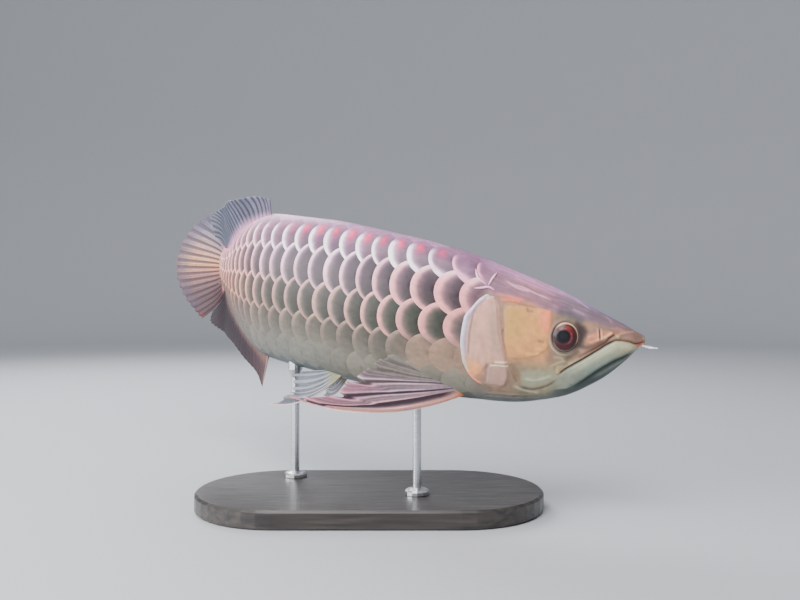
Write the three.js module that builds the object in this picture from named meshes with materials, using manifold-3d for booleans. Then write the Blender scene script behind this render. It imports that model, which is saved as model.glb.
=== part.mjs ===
// Asian arowana, life size, on a plain display stand.
// Millimetres, +Z up. The fish swims towards +X and its right side faces -Y.
// The origin is the middle of the stand base's underside.
//
// The body is one surface around a curved centreline. Three measures place a point on it:
// s, the distance along the centreline from the snout; h, the height over the centreline;
// and side, +1 for the fish's left and -1 for its right.

import * as THREE from 'three';
import { mergeVertices } from 'three/addons/utils/BufferGeometryUtils.js';
import Module from 'manifold-3d';

const wasm = await Module();
wasm.setup();

// Driving dimensions of the fish
const STANDARD_LENGTH = 390;
const SNOUT = new THREE.Vector3(168, -42, 112);
const GAP = 0.3;
const LEFT = 1;
const RIGHT = -1;

// The centreline turns steadily away to the left from the back of the head to the tail root,
// and relaxes again in the tail fin. Headings and climbs are in degrees, places in body lengths.
const BEND = { from: 0.21, headAngle: 8, tailAngle: 74, relaxFrom: 0.97, relaxOver: 0.12, relaxAngle: 40 };
const CLIMB = { headAngle: 4.4, tailAngle: 11.3 };
const CENTRELINE_END = 1.3;

// Body stations in body lengths: back height, belly depth, half width, height of the widest level
const BODY_STATIONS = [
  { at: 0.00, back: 0.008, belly: 0.006, half: 0.010, level: 0.000 },
  { at: 0.02, back: 0.020, belly: 0.031, half: 0.028, level: 0.000 },
  { at: 0.06, back: 0.038, belly: 0.068, half: 0.041, level: 0.002 },
  { at: 0.12, back: 0.065, belly: 0.101, half: 0.051, level: 0.006 },
  { at: 0.20, back: 0.092, belly: 0.117, half: 0.057, level: 0.014 },
  { at: 0.30, back: 0.119, belly: 0.120, half: 0.060, level: 0.024 },
  { at: 0.42, back: 0.136, belly: 0.124, half: 0.060, level: 0.028 },
  { at: 0.55, back: 0.146, belly: 0.122, half: 0.056, level: 0.028 },
  { at: 0.68, back: 0.145, belly: 0.124, half: 0.047, level: 0.022 },
  { at: 0.80, back: 0.110, belly: 0.095, half: 0.029, level: 0.010 },
  { at: 0.86, back: 0.074, belly: 0.069, half: 0.021, level: 0.005 },
  { at: 0.92, back: 0.052, belly: 0.048, half: 0.017, level: 0.002 },
  { at: 1.00, back: 0.044, belly: 0.043, half: 0.012, level: 0.000 },
];
// How square the section is: 2 is an ellipse, less is a keel, more is a broad back
const BACK_POWER = 2.35;
const BELLY_POWER = 1.75;

// Where the body is divided, in body lengths
const HEAD_END = 0.235;
const TRUNK_MIDDLE = 0.46;
const TAIL_START = 0.655;
const TAIL_END = 0.985;

// Mouth, from the chin's tip back to the corner and down behind the jaw, as s and h
const MOUTH_CUT = [
  [-12, 1], [4, 0.6], [16, 0], [21, -2.8], [29, -10], [38, -17.2], [50.5, -28.3], [58, -38], [66, -56],
];
// Low ridges on the side of the head, as paths of s and h with their width and height
const LIP = {
  path: [[5, 3.4], [15, 2.6], [22, -1.4], [31, -9.2], [41, -17], [49, -23.6]],
  width: 4,
  height: 1,
  steps: 9,
};
const JAW_BAND = {
  path: [[5, -3.4], [12, -3.8], [20, -8], [30, -16.4], [40, -24.4], [47, -29]],
  width: 6,
  height: 1.1,
  steps: 9,
};
const NOSTRIL = { path: [[27, 6.4], [26.6, 3], [26.4, -0.6]], width: 1.8, height: 1.3, steps: 3 };
const EYE = { s: 47.1, h: -1, radius: 8.4, depth: 5, sunk: 1.6 };
const EYE_RIM = { radius: 9.3, thickness: 2.6, sunk: 0.3 };
const CHEEK = { front: 58.5, rear: 79, top: 12.5, bottom: -13, rise: 0.6, sunk: 1.4 };
const BARBEL = { s: 2.4, h: -2.4, out: 2.2, length: 12.5, rootRadius: 1.1, tipRadius: 0.45, rise: 1.6 };
const BARBEL_LIE = { ahead: 0.9, out: 0.42, down: 0.22 };

// Materials
const SCALE_SKIN = new THREE.MeshStandardMaterial({ color: 0xa79c9e, roughness: 0.42, metalness: 0.15 });
const HEAD_SKIN = new THREE.MeshStandardMaterial({ color: 0xb4a184, roughness: 0.4, metalness: 0.1 });
const GILL_GOLD = new THREE.MeshStandardMaterial({ color: 0xd0b7a4, roughness: 0.35, metalness: 0.2 });
const EYE_RED = new THREE.MeshStandardMaterial({ color: 0x7a2b26, roughness: 0.15, metalness: 0 });
const BARBEL_WHITE = new THREE.MeshStandardMaterial({ color: 0xe6dcdc, roughness: 0.5, metalness: 0 });
const DORSAL_GREY = new THREE.MeshStandardMaterial({ color: 0x6b7688, roughness: 0.5, metalness: 0 });
const CAUDAL_RUSSET = new THREE.MeshStandardMaterial({ color: 0xa87362, roughness: 0.5, metalness: 0 });
const ANAL_BROWN = new THREE.MeshStandardMaterial({ color: 0x6b3f3c, roughness: 0.5, metalness: 0 });
const PAIRED_PINK = new THREE.MeshStandardMaterial({ color: 0xcfa2a8, roughness: 0.5, metalness: 0 });
const STAND_BLACK = new THREE.MeshStandardMaterial({ color: 0x2a2826, roughness: 0.55, metalness: 0 });
const STAND_STEEL = new THREE.MeshStandardMaterial({ color: 0xb9bcc0, roughness: 0.3, metalness: 1 });

// Small helpers

const radians = THREE.MathUtils.degToRad;

function smooth(value) {
  const t = THREE.MathUtils.clamp(value, 0, 1);
  return t * t * (3 - 2 * t);
}

// A smooth curve through stations that never overshoots them
function stationCurve(places, values) {
  const last = places.length - 1;
  const slopes = places.slice(1).map((place, i) => (values[i + 1] - values[i]) / (place - places[i]));
  const tangents = places.map((place, i) => {
    if (i === 0) return slopes[0];
    if (i === last) return slopes[last - 1];
    const product = slopes[i - 1] * slopes[i];
    return product <= 0 ? 0 : (2 * product) / (slopes[i - 1] + slopes[i]);
  });
  return (place) => {
    const at = THREE.MathUtils.clamp(place, places[0], places[last]);
    let i = 0;
    while (i < last - 1 && at > places[i + 1]) i += 1;
    const step = places[i + 1] - places[i];
    const t = (at - places[i]) / step;
    const t2 = t * t;
    const t3 = t2 * t;
    return (2 * t3 - 3 * t2 + 1) * values[i] + (t3 - 2 * t2 + t) * step * tangents[i]
      + (3 * t2 - 2 * t3) * values[i + 1] + (t3 - t2) * step * tangents[i + 1];
  };
}

// The centreline and its directions

const CENTRELINE_STEPS = 520;
const CENTRELINE_START = -0.1;

function directionsAt(place) {
  const turn = THREE.MathUtils.clamp((place - BEND.from) / (1 - BEND.from), 0, 1);
  const relax = radians(BEND.relaxAngle) * smooth((place - BEND.relaxFrom) / BEND.relaxOver);
  const heading = radians(THREE.MathUtils.lerp(BEND.headAngle, BEND.tailAngle, turn)) - relax;
  const along = THREE.MathUtils.clamp(place, 0, 1);
  const climb = radians(THREE.MathUtils.lerp(CLIMB.headAngle, CLIMB.tailAngle, along));
  const back = new THREE.Vector3(
    -Math.cos(heading) * Math.cos(climb),
    Math.sin(heading) * Math.cos(climb),
    Math.sin(climb),
  );
  const up = new THREE.Vector3(
    Math.cos(heading) * Math.sin(climb),
    -Math.sin(heading) * Math.sin(climb),
    Math.cos(climb),
  );
  const left = new THREE.Vector3(Math.sin(heading), Math.cos(heading), 0);
  return { back, up, left };
}

function makeCentreline() {
  const step = (CENTRELINE_END - CENTRELINE_START) / CENTRELINE_STEPS;
  const points = [];
  let point = SNOUT.clone().addScaledVector(directionsAt(0).back, CENTRELINE_START * STANDARD_LENGTH);
  for (let i = 0; i <= CENTRELINE_STEPS; i += 1) {
    points.push(point);
    const middle = directionsAt(CENTRELINE_START + (i + 0.5) * step).back;
    point = point.clone().addScaledVector(middle, step * STANDARD_LENGTH);
  }
  return points;
}

const CENTRELINE = makeCentreline();

function axisAt(place) {
  const t = ((place - CENTRELINE_START) / (CENTRELINE_END - CENTRELINE_START)) * CENTRELINE_STEPS;
  const i = THREE.MathUtils.clamp(Math.floor(t), 0, CENTRELINE_STEPS - 1);
  const point = CENTRELINE[i].clone().lerp(CENTRELINE[i + 1], t - i);
  return { point, ...directionsAt(place) };
}

// A point from its distance along the centreline, its height over it and its distance to the left
function bodyPoint(s, h, out = 0) {
  const axis = axisAt(s / STANDARD_LENGTH);
  return axis.point.addScaledVector(axis.up, h).addScaledVector(axis.left, out);
}

// The body's section

const stationPlaces = BODY_STATIONS.map((station) => station.at);
const curveOf = (key) => stationCurve(stationPlaces, BODY_STATIONS.map((station) => station[key]));
const backHeight = curveOf('back');
const bellyDepth = curveOf('belly');
const halfWidth = curveOf('half');
const widestLevel = curveOf('level');

function sectionAt(place) {
  const level = widestLevel(place) * STANDARD_LENGTH;
  return {
    level,
    above: backHeight(place) * STANDARD_LENGTH - level,
    below: bellyDepth(place) * STANDARD_LENGTH + level,
    half: halfWidth(place) * STANDARD_LENGTH,
  };
}

// Section point at an angle from 0, the back's midline, to 180 degrees, the belly's midline
function sectionPoint(section, angle) {
  const power = angle < Math.PI / 2 ? BACK_POWER : BELLY_POWER;
  const reach = angle < Math.PI / 2 ? section.above : section.below;
  const cosine = Math.cos(angle);
  const height = section.level + reach * Math.sign(cosine) * Math.abs(cosine) ** (2 / power);
  return { height, width: section.half * Math.abs(Math.sin(angle)) ** (2 / power) };
}

const SECTION_STEPS = 48;

// Points of the half section, evenly far apart along it: share runs from 0, back, to 1, belly
function evenSectionPoint(place, share) {
  const section = sectionAt(place);
  const points = [];
  const lengths = [0];
  for (let i = 0; i <= SECTION_STEPS; i += 1) {
    points.push(sectionPoint(section, (Math.PI * i) / SECTION_STEPS));
    if (i > 0) {
      const rise = points[i].height - points[i - 1].height;
      const spread = points[i].width - points[i - 1].width;
      lengths.push(lengths[i - 1] + Math.hypot(rise, spread));
    }
  }
  const wanted = THREE.MathUtils.clamp(share, 0, 1) * lengths[SECTION_STEPS];
  let i = 0;
  while (i < SECTION_STEPS - 1 && lengths[i + 1] < wanted) i += 1;
  const t = (wanted - lengths[i]) / Math.max(lengths[i + 1] - lengths[i], 1e-9);
  return {
    height: THREE.MathUtils.lerp(points[i].height, points[i + 1].height, t),
    width: THREE.MathUtils.lerp(points[i].width, points[i + 1].width, t),
  };
}

// A skin point from its place along the body and its turn round the section:
// turn runs from 0 on the back down the right side to 0.5 on the belly and up the left side to 1
function skinPoint(place, turn) {
  const side = turn <= 0.5 ? RIGHT : LEFT;
  const share = turn <= 0.5 ? turn * 2 : (1 - turn) * 2;
  const { height, width } = evenSectionPoint(place, share);
  return bodyPoint(place * STANDARD_LENGTH, height, side * width);
}

// A point on the side of the body, seen from that side, lifted off the skin
function sidePoint(s, h, side, lift = 0) {
  const onSkin = (along, height) => {
    const section = sectionAt(along / STANDARD_LENGTH);
    const above = height > section.level;
    const reach = above ? section.above : section.below;
    const power = above ? BACK_POWER : BELLY_POWER;
    const t = Math.min(Math.abs(height - section.level) / reach, 1);
    return bodyPoint(along, height, side * section.half * (1 - t ** power) ** (1 / power));
  };
  const point = onSkin(s, h);
  const normal = sideNormal(onSkin, s, h, side);
  return { point: point.clone().addScaledVector(normal, lift), normal };
}

function sideNormal(onSkin, s, h, side) {
  const step = 0.4;
  const along = onSkin(s + step, h).sub(onSkin(s - step, h));
  const upward = onSkin(s, h + step).sub(onSkin(s, h - step));
  return along.cross(upward).multiplyScalar(side).normalize();
}

// Solids

function signedVolume(points, triangles) {
  let volume = 0;
  for (const [a, b, c] of triangles) {
    volume += points[a].dot(points[b].clone().cross(points[c])) / 6;
  }
  return volume;
}

function solidFrom(points, triangles) {
  const outward = signedVolume(points, triangles) > 0;
  const vertProperties = new Float32Array(points.flatMap((point) => point.toArray()));
  const triVerts = new Uint32Array(triangles.flatMap(([a, b, c]) => (outward ? [a, b, c] : [a, c, b])));
  return new wasm.Manifold(new wasm.Mesh({ numProp: 3, vertProperties, triVerts }));
}

function solidFromGeometry(source, place = (point) => point) {
  const bare = source.clone();
  bare.deleteAttribute('normal');
  bare.deleteAttribute('uv');
  const merged = mergeVertices(bare, 1e-4);
  const position = merged.getAttribute('position');
  const index = merged.getIndex();
  const points = [];
  for (let i = 0; i < position.count; i += 1) {
    points.push(place(new THREE.Vector3().fromBufferAttribute(position, i)));
  }
  const triangles = [];
  for (let i = 0; i < index.count; i += 3) {
    const corners = [index.getX(i), index.getX(i + 1), index.getX(i + 2)];
    if (new Set(corners).size === 3) triangles.push(corners);
  }
  return solidFrom(points, triangles);
}

function facesOf(solid) {
  const mesh = solid.getMesh();
  const points = [];
  for (let i = 0; i < mesh.vertProperties.length; i += mesh.numProp) {
    points.push(new THREE.Vector3(...mesh.vertProperties.slice(i, i + 3)));
  }
  const triangles = [];
  for (let i = 0; i < mesh.triVerts.length; i += 3) {
    triangles.push([...mesh.triVerts.slice(i, i + 3)]);
  }
  return { points, triangles };
}

function shifted(solid, offset) {
  const { points, triangles } = facesOf(solid);
  return solidFrom(points.map((point) => point.clone().add(offset)), triangles);
}

function largestPart(solid) {
  const parts = solid.decompose();
  const volumes = parts.map((part) => {
    const { points, triangles } = facesOf(part);
    return signedVolume(points, triangles);
  });
  return parts[volumes.indexOf(Math.max(...volumes))];
}

function joined(solids) {
  return solids.reduce((sum, solid) => sum.add(solid));
}

// Cuts a piece clear of the neighbour that it grows from, by the gap that touching pieces keep
function clearOf(solid, neighbour, ...directions) {
  const grown = directions.map((direction) => shifted(neighbour, direction.clone().setLength(GAP)));
  return grown.reduce((rest, blocker) => rest.subtract(blocker), solid);
}

function meshOf(name, solid, material) {
  const { points, triangles } = facesOf(largestPart(solid));
  const geometry = new THREE.BufferGeometry();
  const position = new Float32Array(points.flatMap((point) => point.toArray()));
  geometry.setAttribute('position', new THREE.BufferAttribute(position, 3));
  geometry.setIndex(triangles.flat());
  geometry.computeVertexNormals();
  const mesh = new THREE.Mesh(geometry, material);
  mesh.name = name;
  return mesh;
}

// Closed loft through rings that all have the same number of points
function loft(rings) {
  const count = rings[0].length;
  const points = rings.flat();
  const triangles = [];
  for (let ring = 0; ring < rings.length - 1; ring += 1) {
    for (let k = 0; k < count; k += 1) {
      const a = ring * count + k;
      const b = ring * count + ((k + 1) % count);
      triangles.push([a, b, b + count], [a, b + count, a + count]);
    }
  }
  for (const ring of [0, rings.length - 1]) {
    const middle = new THREE.Vector3();
    rings[ring].forEach((point) => middle.add(point));
    const hub = points.push(middle.divideScalar(count)) - 1;
    for (let k = 0; k < count; k += 1) {
      const a = ring * count + k;
      const b = ring * count + ((k + 1) % count);
      triangles.push(ring === 0 ? [hub, b, a] : [hub, a, b]);
    }
  }
  return solidFrom(points, triangles);
}

// A sheet of given half thickness around a middle surface, split alike on both faces.
// reachAt gives how far each column runs towards the free edge, 1 being all the way.
function sheet(columns, rows, middleAt, halfAt, reachAt = () => 1) {
  const step = 1e-3;
  const front = [];
  const behind = [];
  for (let row = 0; row <= rows; row += 1) {
    for (let column = 0; column <= columns; column += 1) {
      const a = column / columns;
      const b = (row / rows) * reachAt(column);
      const across = middleAt(Math.min(a + step, 1), b).sub(middleAt(Math.max(a - step, 0), b));
      const along = middleAt(a, Math.min(b + step, 1)).sub(middleAt(a, Math.max(b - step, 0)));
      const normal = across.cross(along).normalize().multiplyScalar(halfAt(a, b, column));
      front.push(middleAt(a, b).add(normal));
      behind.push(middleAt(a, b).sub(normal));
    }
  }
  const width = columns + 1;
  const far = front.length;
  const triangles = [];
  for (let row = 0; row < rows; row += 1) {
    for (let column = 0; column < columns; column += 1) {
      const a = row * width + column;
      const b = a + 1;
      const c = a + width;
      const d = c + 1;
      triangles.push([a, b, d], [a, d, c], [far + a, far + d, far + b], [far + a, far + c, far + d]);
    }
  }
  const edge = [];
  for (let column = 0; column < columns; column += 1) edge.push([column, column + 1]);
  for (let row = 0; row < rows; row += 1) edge.push([row * width + columns, (row + 1) * width + columns]);
  const last = rows * width;
  for (let column = columns; column > 0; column -= 1) edge.push([last + column, last + column - 1]);
  for (let row = rows; row > 0; row -= 1) edge.push([row * width, (row - 1) * width]);
  for (const [a, b] of edge) triangles.push([a, far + a, far + b], [a, far + b, b]);
  return solidFrom([...front, ...behind], triangles);
}

// Body shell and the blocks that divide it

function bodyLoft(from, to, rings, around) {
  const loops = [];
  for (let i = 0; i <= rings; i += 1) {
    const place = THREE.MathUtils.lerp(from, to, i / rings);
    loops.push(Array.from({ length: around }, (unused, k) => skinPoint(place, k / around)));
  }
  return loft(loops);
}

// Scales: the trunk and tail are one surface of overlapping scales in rows that are staggered by
// half a pitch. A scale's free rear edge is an arc raised off the scales behind it, and its ends
// tuck under the scales half a pitch ahead in the next rows.
const SCALES = { rows: 12, lastColumn: 25 };
// Places of the scales' rear tips in body lengths, against their column counted from the gill cover
const columnPlace = stationCurve(
  [-3, 0, 3, 6, 12, 18, 24, 27],
  [0.147, 0.263, 0.373, 0.461, 0.652, 0.835, 0.993, 1.068],
);
// The share of the way from the back to the belly where each row lies
const rowShare = stationCurve([0, 1, 2, 3, 4, 5, 6], [0, 0.160, 0.350, 0.533, 0.702, 0.855, 1]);
// A free edge's height in rows and depth in columns, how far it is raised in columns,
// and in millimetres under the gill cover
const SCALE_EDGE = { height: 0.7, depth: 1.104, raise: 0.06, hidden: 0.07 };
// Spots along a free edge, as rows over or under its tip. The outer ones are where edges cross.
const EDGE_SPOTS = [-0.53, -0.36, 0, 0.36, 0.53];
const [LOW_MID, LOW, TIP, HIGH, HIGH_MID] = EDGE_SPOTS.keys();

const columnPitch = (column) => (columnPlace(column + 0.5) - columnPlace(column - 0.5)) * STANDARD_LENGTH;

// The turn round the body of a row, counted from the back down one side and up the other
function rowTurn(row) {
  const half = SCALES.rows / 2;
  const folded = ((row + half + SCALES.rows) % SCALES.rows) - half;
  const turn = (Math.sign(folded) * rowShare(Math.abs(folded))) / 2;
  return (turn + 1) % 1;
}

const edgeSetback = (rows) => SCALE_EDGE.depth * (1 - Math.sqrt(1 - (rows / SCALE_EDGE.height) ** 2));

function skinNormal(place, turn) {
  const step = 1e-3;
  const along = skinPoint(place + step, turn).sub(skinPoint(place - step, turn));
  const round = skinPoint(place, (turn + step) % 1).sub(skinPoint(place, (turn + 1 - step) % 1));
  return round.cross(along).normalize();
}

// Whether the gill cover lies over this spot of the skin
function underGillCover(point) {
  const axis = axisAt(HEAD_END);
  const offset = point.clone().sub(axis.point);
  const s = HEAD_END * STANDARD_LENGTH + offset.dot(axis.back);
  const h = offset.dot(axis.up);
  return h < GILL_TOP + 3 && h > GILL_BOTTOM - 3 && s < gillRear(h) + 2.5;
}

function scaledBody() {
  const points = [];
  const known = new Map();
  const vertex = (column, row, spot, raised) => {
    const wrapped = (row + SCALES.rows) % SCALES.rows;
    const key = `${column} ${wrapped} ${spot} ${raised}`;
    if (!known.has(key)) {
      const rows = EDGE_SPOTS[spot];
      const tipColumn = column + (wrapped % 2 === 0 ? 0.5 : 0);
      const place = columnPlace(tipColumn - edgeSetback(rows));
      const turn = rowTurn(wrapped + rows);
      const point = skinPoint(place, turn);
      if (raised) {
        const lift = underGillCover(point) ? SCALE_EDGE.hidden : SCALE_EDGE.raise * columnPitch(tipColumn);
        point.addScaledVector(skinNormal(place, turn), lift);
      }
      known.set(key, points.push(point) - 1);
    }
    return known.get(key);
  };
  const triangles = [];
  const addScale = (column, row) => {
    const ahead = row % 2 === 0 ? column : column - 1;
    const own = EDGE_SPOTS.map((unused, spot) => vertex(column, row, spot, true));
    const under = EDGE_SPOTS.map((unused, spot) => vertex(column, row, spot, false));
    const front = EDGE_SPOTS.map((unused, spot) => vertex(column - 1, row, spot, false));
    const highEnd = vertex(ahead, row + 1, LOW, false);
    const highFront = vertex(ahead, row + 1, LOW_MID, false);
    const lowEnd = vertex(ahead, row - 1 + SCALES.rows, HIGH, false);
    const lowFront = vertex(ahead, row - 1 + SCALES.rows, HIGH_MID, false);
    triangles.push(
      [front[TIP], own[TIP], own[HIGH]],
      [front[TIP], own[HIGH], front[HIGH]],
      [front[HIGH], own[HIGH], highFront],
      [highFront, own[HIGH], own[HIGH_MID]],
      [highFront, own[HIGH_MID], highEnd],
      [front[TIP], own[LOW], own[TIP]],
      [front[TIP], front[LOW], own[LOW]],
      [front[LOW], lowFront, own[LOW]],
      [lowFront, own[LOW_MID], own[LOW]],
      [lowFront, lowEnd, own[LOW_MID]],
    );
    triangles.push([lowEnd, under[LOW_MID], own[LOW_MID]], [highEnd, own[HIGH_MID], under[HIGH_MID]]);
    for (let spot = LOW_MID; spot < HIGH_MID; spot += 1) {
      triangles.push([own[spot], under[spot], under[spot + 1]]);
      triangles.push([own[spot], under[spot + 1], own[spot + 1]]);
    }
  };
  for (let row = 0; row < SCALES.rows; row += 1) {
    const first = row % 2 === 0 ? -1 : 0;
    for (let i = 0; i <= SCALES.lastColumn; i += 1) addScale(first + i, row);
  }
  const closeEnd = (column, isFront) => {
    const rim = [];
    for (let row = 0; row < SCALES.rows; row += 1) {
      const even = row % 2 === 0;
      const spots = even ? [LOW, TIP, HIGH] : [...EDGE_SPOTS.keys()];
      spots.forEach((spot) => rim.push(vertex(even ? column - 1 : column, row, spot, false)));
    }
    const hub = points.push(axisAt(columnPlace(column)).point) - 1;
    rim.forEach((a, i) => {
      const b = rim[(i + 1) % rim.length];
      triangles.push(isFront ? [hub, a, b] : [hub, b, a]);
    });
  };
  closeEnd(-1, true);
  closeEnd(SCALES.lastColumn, false);
  return solidFrom(points, triangles);
}

const BLOCK = 700;

// A block that fills everything behind a cross cut of the body, or everything ahead of it
function crossBlock(place, behind, clearance = 0) {
  const { point, back, up, left } = axisAt(place);
  const away = behind ? back : back.clone().negate();
  const centre = point.clone().addScaledVector(away, BLOCK / 2 + clearance);
  const matrix = new THREE.Matrix4().makeBasis(back, left, up.clone());
  const box = new THREE.BoxGeometry(BLOCK, BLOCK, BLOCK);
  return solidFromGeometry(box, (corner) => corner.applyMatrix4(matrix).add(centre));
}

function bodyLength(solid, from, to) {
  let piece = solid;
  if (from !== null) piece = piece.intersect(crossBlock(from, true, GAP / 2));
  if (to !== null) piece = piece.intersect(crossBlock(to, false, GAP / 2));
  return piece;
}

// Head

// A low ridge that follows a path on the side of the body
function sideRidge({ path, width, height, steps }, side) {
  const knots = path.map(([s, h]) => new THREE.Vector3(s, h, 0));
  const curve = new THREE.CatmullRomCurve3(knots, false, 'centripetal');
  const profile = [[-0.5, -1], [-0.42, 0.2], [-0.2, 1], [0.2, 1], [0.42, 0.2], [0.5, -1]];
  const rings = [];
  for (let i = 0; i <= steps; i += 1) {
    const at = curve.getPoint(i / steps);
    const heading = curve.getTangent(i / steps);
    const end = Math.sqrt(Math.sin((Math.PI * (i + 0.35)) / (steps + 0.7)));
    rings.push(profile.map(([across, lift]) => {
      const reach = across * width * Math.min(1, 0.4 + end * 0.7);
      return sidePoint(at.x - heading.y * reach, at.y + heading.x * reach, side, lift * height * end).point;
    }));
  }
  return loft(rings);
}

// The eye's ball, or with some clearance its socket
function eyeBall(side, clearance = 0) {
  const { point, normal } = sidePoint(EYE.s, EYE.h, side);
  const turn = new THREE.Quaternion().setFromUnitVectors(new THREE.Vector3(0, 1, 0), normal);
  const centre = point.addScaledVector(normal, -EYE.sunk);
  const ball = new THREE.SphereGeometry(1, 16, 8);
  const wide = EYE.radius + clearance;
  const size = new THREE.Vector3(wide, EYE.depth + clearance, wide);
  return solidFromGeometry(ball, (p) => p.multiply(size).applyQuaternion(turn).add(centre));
}

// The bony ring round the eye
function eyeRim(side) {
  const { normal, point } = sidePoint(EYE.s, EYE.h, side);
  const centre = point.addScaledVector(normal, -EYE_RIM.sunk);
  const turn = new THREE.Quaternion().setFromUnitVectors(new THREE.Vector3(0, 0, 1), normal);
  const ring = new THREE.TorusGeometry(EYE_RIM.radius, EYE_RIM.thickness / 2, 6, 18);
  return solidFromGeometry(ring, (p) => p.applyQuaternion(turn).add(centre));
}

// A thin wall through the head along the line of the mouth, which parts the lower jaw from the head
function mouthWall() {
  const cut = MOUTH_CUT.map(([s, h]) => new THREE.Vector2(s, h));
  const offset = (i, sign) => {
    const before = cut[Math.max(i - 1, 0)];
    const after = cut[Math.min(i + 1, cut.length - 1)];
    const along = after.clone().sub(before).normalize();
    const shift = (sign * GAP) / 2;
    return new THREE.Vector2(cut[i].x - along.y * shift, cut[i].y + along.x * shift);
  };
  const upper = cut.map((point, i) => offset(i, 1));
  const lower = cut.map((point, i) => offset(i, -1)).reverse();
  const reach = STANDARD_LENGTH * 0.1;
  const outline = new THREE.Shape([...upper, ...lower]);
  const wall = new THREE.ExtrudeGeometry(outline, { depth: 2 * reach, bevelEnabled: false });
  return solidFromGeometry(wall, (p) => bodyPoint(p.x, p.y, p.z - reach));
}

// The plate behind the eye, a little prouder than the cheek round it
function cheekPlate(side) {
  const { front, rear, top, bottom, rise, sunk } = CHEEK;
  const middle = (a, b) => {
    const s = THREE.MathUtils.lerp(front, rear, a);
    const h = THREE.MathUtils.lerp(top, bottom, b);
    return sidePoint(s, h, side, (rise - sunk) / 2).point;
  };
  return sheet(3, 3, middle, () => (rise + sunk) / 2);
}

const HEAD_RINGS = 16;
const HEAD_SIDES = 32;

function makeHeadParts() {
  const shell = bodyLength(bodyLoft(0, HEAD_END + 0.02, HEAD_RINGS, HEAD_SIDES), null, HEAD_END);
  const features = [RIGHT, LEFT].flatMap((side) => [
    sideRidge(LIP, side),
    sideRidge(JAW_BAND, side),
    sideRidge(NOSTRIL, side),
    cheekPlate(side),
    eyeRim(side),
  ]);
  const sockets = joined([RIGHT, LEFT].map((side) => eyeBall(side, GAP)));
  const whole = joined([shell, ...features]).subtract(sockets).subtract(mouthWall());
  const parts = whole.decompose().map((part) => ({ part, ...facesOf(part) }));
  parts.sort((a, b) => signedVolume(b.points, b.triangles) - signedVolume(a.points, a.triangles));
  return { head: parts[0].part, lowerJaw: parts[1].part };
}

// Gill cover: a thin plate over the back of the head, from its hinge to its free rear rim
const GILL_TOP = 21.5;
const GILL_BOTTOM = -37.5;
const GILL = { lift: 0.5, frontThick: 0.7, rearThick: 1.1 };
const gillFront = stationCurve(
  [GILL_BOTTOM, -30, -19.3, -2, 12.6, GILL_TOP],
  [80, 76.5, 79, 84.3, 86.5, 89.5],
);
const gillRear = stationCurve(
  [GILL_BOTTOM, -33, -27.3, -19.6, -7.4, 4.6, 12.6, 19.4, GILL_TOP],
  [88, 97, 102.3, 105.4, 106.9, 106, 101.6, 96.5, 93],
);

function gillCover(side) {
  const middle = (a, b) => {
    const h = THREE.MathUtils.lerp(GILL_TOP, GILL_BOTTOM, b);
    const s = THREE.MathUtils.lerp(gillFront(h), gillRear(h), a);
    const thick = THREE.MathUtils.lerp(GILL.frontThick, GILL.rearThick, a);
    return sidePoint(s, h, side, GILL.lift + thick / 2).point;
  };
  const half = (a) => THREE.MathUtils.lerp(GILL.frontThick, GILL.rearThick, a) / 2;
  return sheet(5, 12, middle, half);
}

function barbel(side, lowerJaw) {
  const root = bodyPoint(BARBEL.s, BARBEL.h, side * BARBEL.out);
  const ahead = axisAt(0).back.clone().negate();
  const out = axisAt(0).left.clone().multiplyScalar(side);
  const steps = 6;
  const around = 8;
  const rooted = 0.2;
  const rings = [];
  for (let i = 0; i <= steps; i += 1) {
    const t = i / steps;
    const reach = BARBEL.length * (t * (1 + rooted) - rooted);
    const centre = root.clone().addScaledVector(ahead, reach * BARBEL_LIE.ahead)
      .addScaledVector(out, reach * BARBEL_LIE.out);
    centre.z -= reach * BARBEL_LIE.down - BARBEL.rise * t * t;
    const radius = THREE.MathUtils.lerp(BARBEL.rootRadius, BARBEL.tipRadius, t);
    rings.push(Array.from({ length: around }, (unused, k) => {
      const angle = (2 * Math.PI * k) / around;
      return centre.clone().addScaledVector(out, Math.cos(angle) * radius)
        .add(new THREE.Vector3(0, 0, Math.sin(angle) * radius));
    }));
  }
  return clearOf(loft(rings), lowerJaw, ahead);
}

// Fins

function flatCurve(points) {
  const curve = new THREE.SplineCurve(points.map(([x, y]) => new THREE.Vector2(x, y)));
  return (t) => curve.getPoint(THREE.MathUtils.clamp(t, 0, 1));
}

// In a finned sheet every other column is a ray, raised as a ridge on both faces, and the
// membrane between two rays is thinner and ends a little short of their tips
const MEMBRANE_HALF = 0.28;
const RAY = { rootHalf: 0.85, tipHalf: 0.45 };

const isRay = (column) => column % 2 === 0;

function rayedSheet(rays, rows, middleAt, rootHalfAt, notch) {
  const half = (a, b, column) => {
    const ridge = isRay(column) ? THREE.MathUtils.lerp(RAY.rootHalf, RAY.tipHalf, b) : MEMBRANE_HALF;
    return ridge + Math.max(rootHalfAt(a) - ridge, 0) * Math.max(0, 1 - b / 0.3) ** 2;
  };
  return sheet(2 * (rays - 1), rows, middleAt, half, (column) => (isRay(column) ? 1 : 1 - notch));
}

// A fin in the body's middle plane: each ray runs from its root to its tip, bowed a little
function medianFin({ roots, tips, rays, rows, bow, sway, rootHalf, notch }) {
  const rootAt = flatCurve(roots);
  const tipAt = flatCurve(tips);
  const middle = (a, b) => {
    const root = rootAt(a);
    const tip = tipAt(a);
    const s = THREE.MathUtils.lerp(root.x, tip.x, b);
    const h = THREE.MathUtils.lerp(root.y, tip.y, b) + bow(a) * 4 * b * (1 - b);
    return bodyPoint(s, h, sway(a) * b * b);
  };
  return rayedSheet(rays, rows, middle, rootHalf, notch);
}

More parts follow.
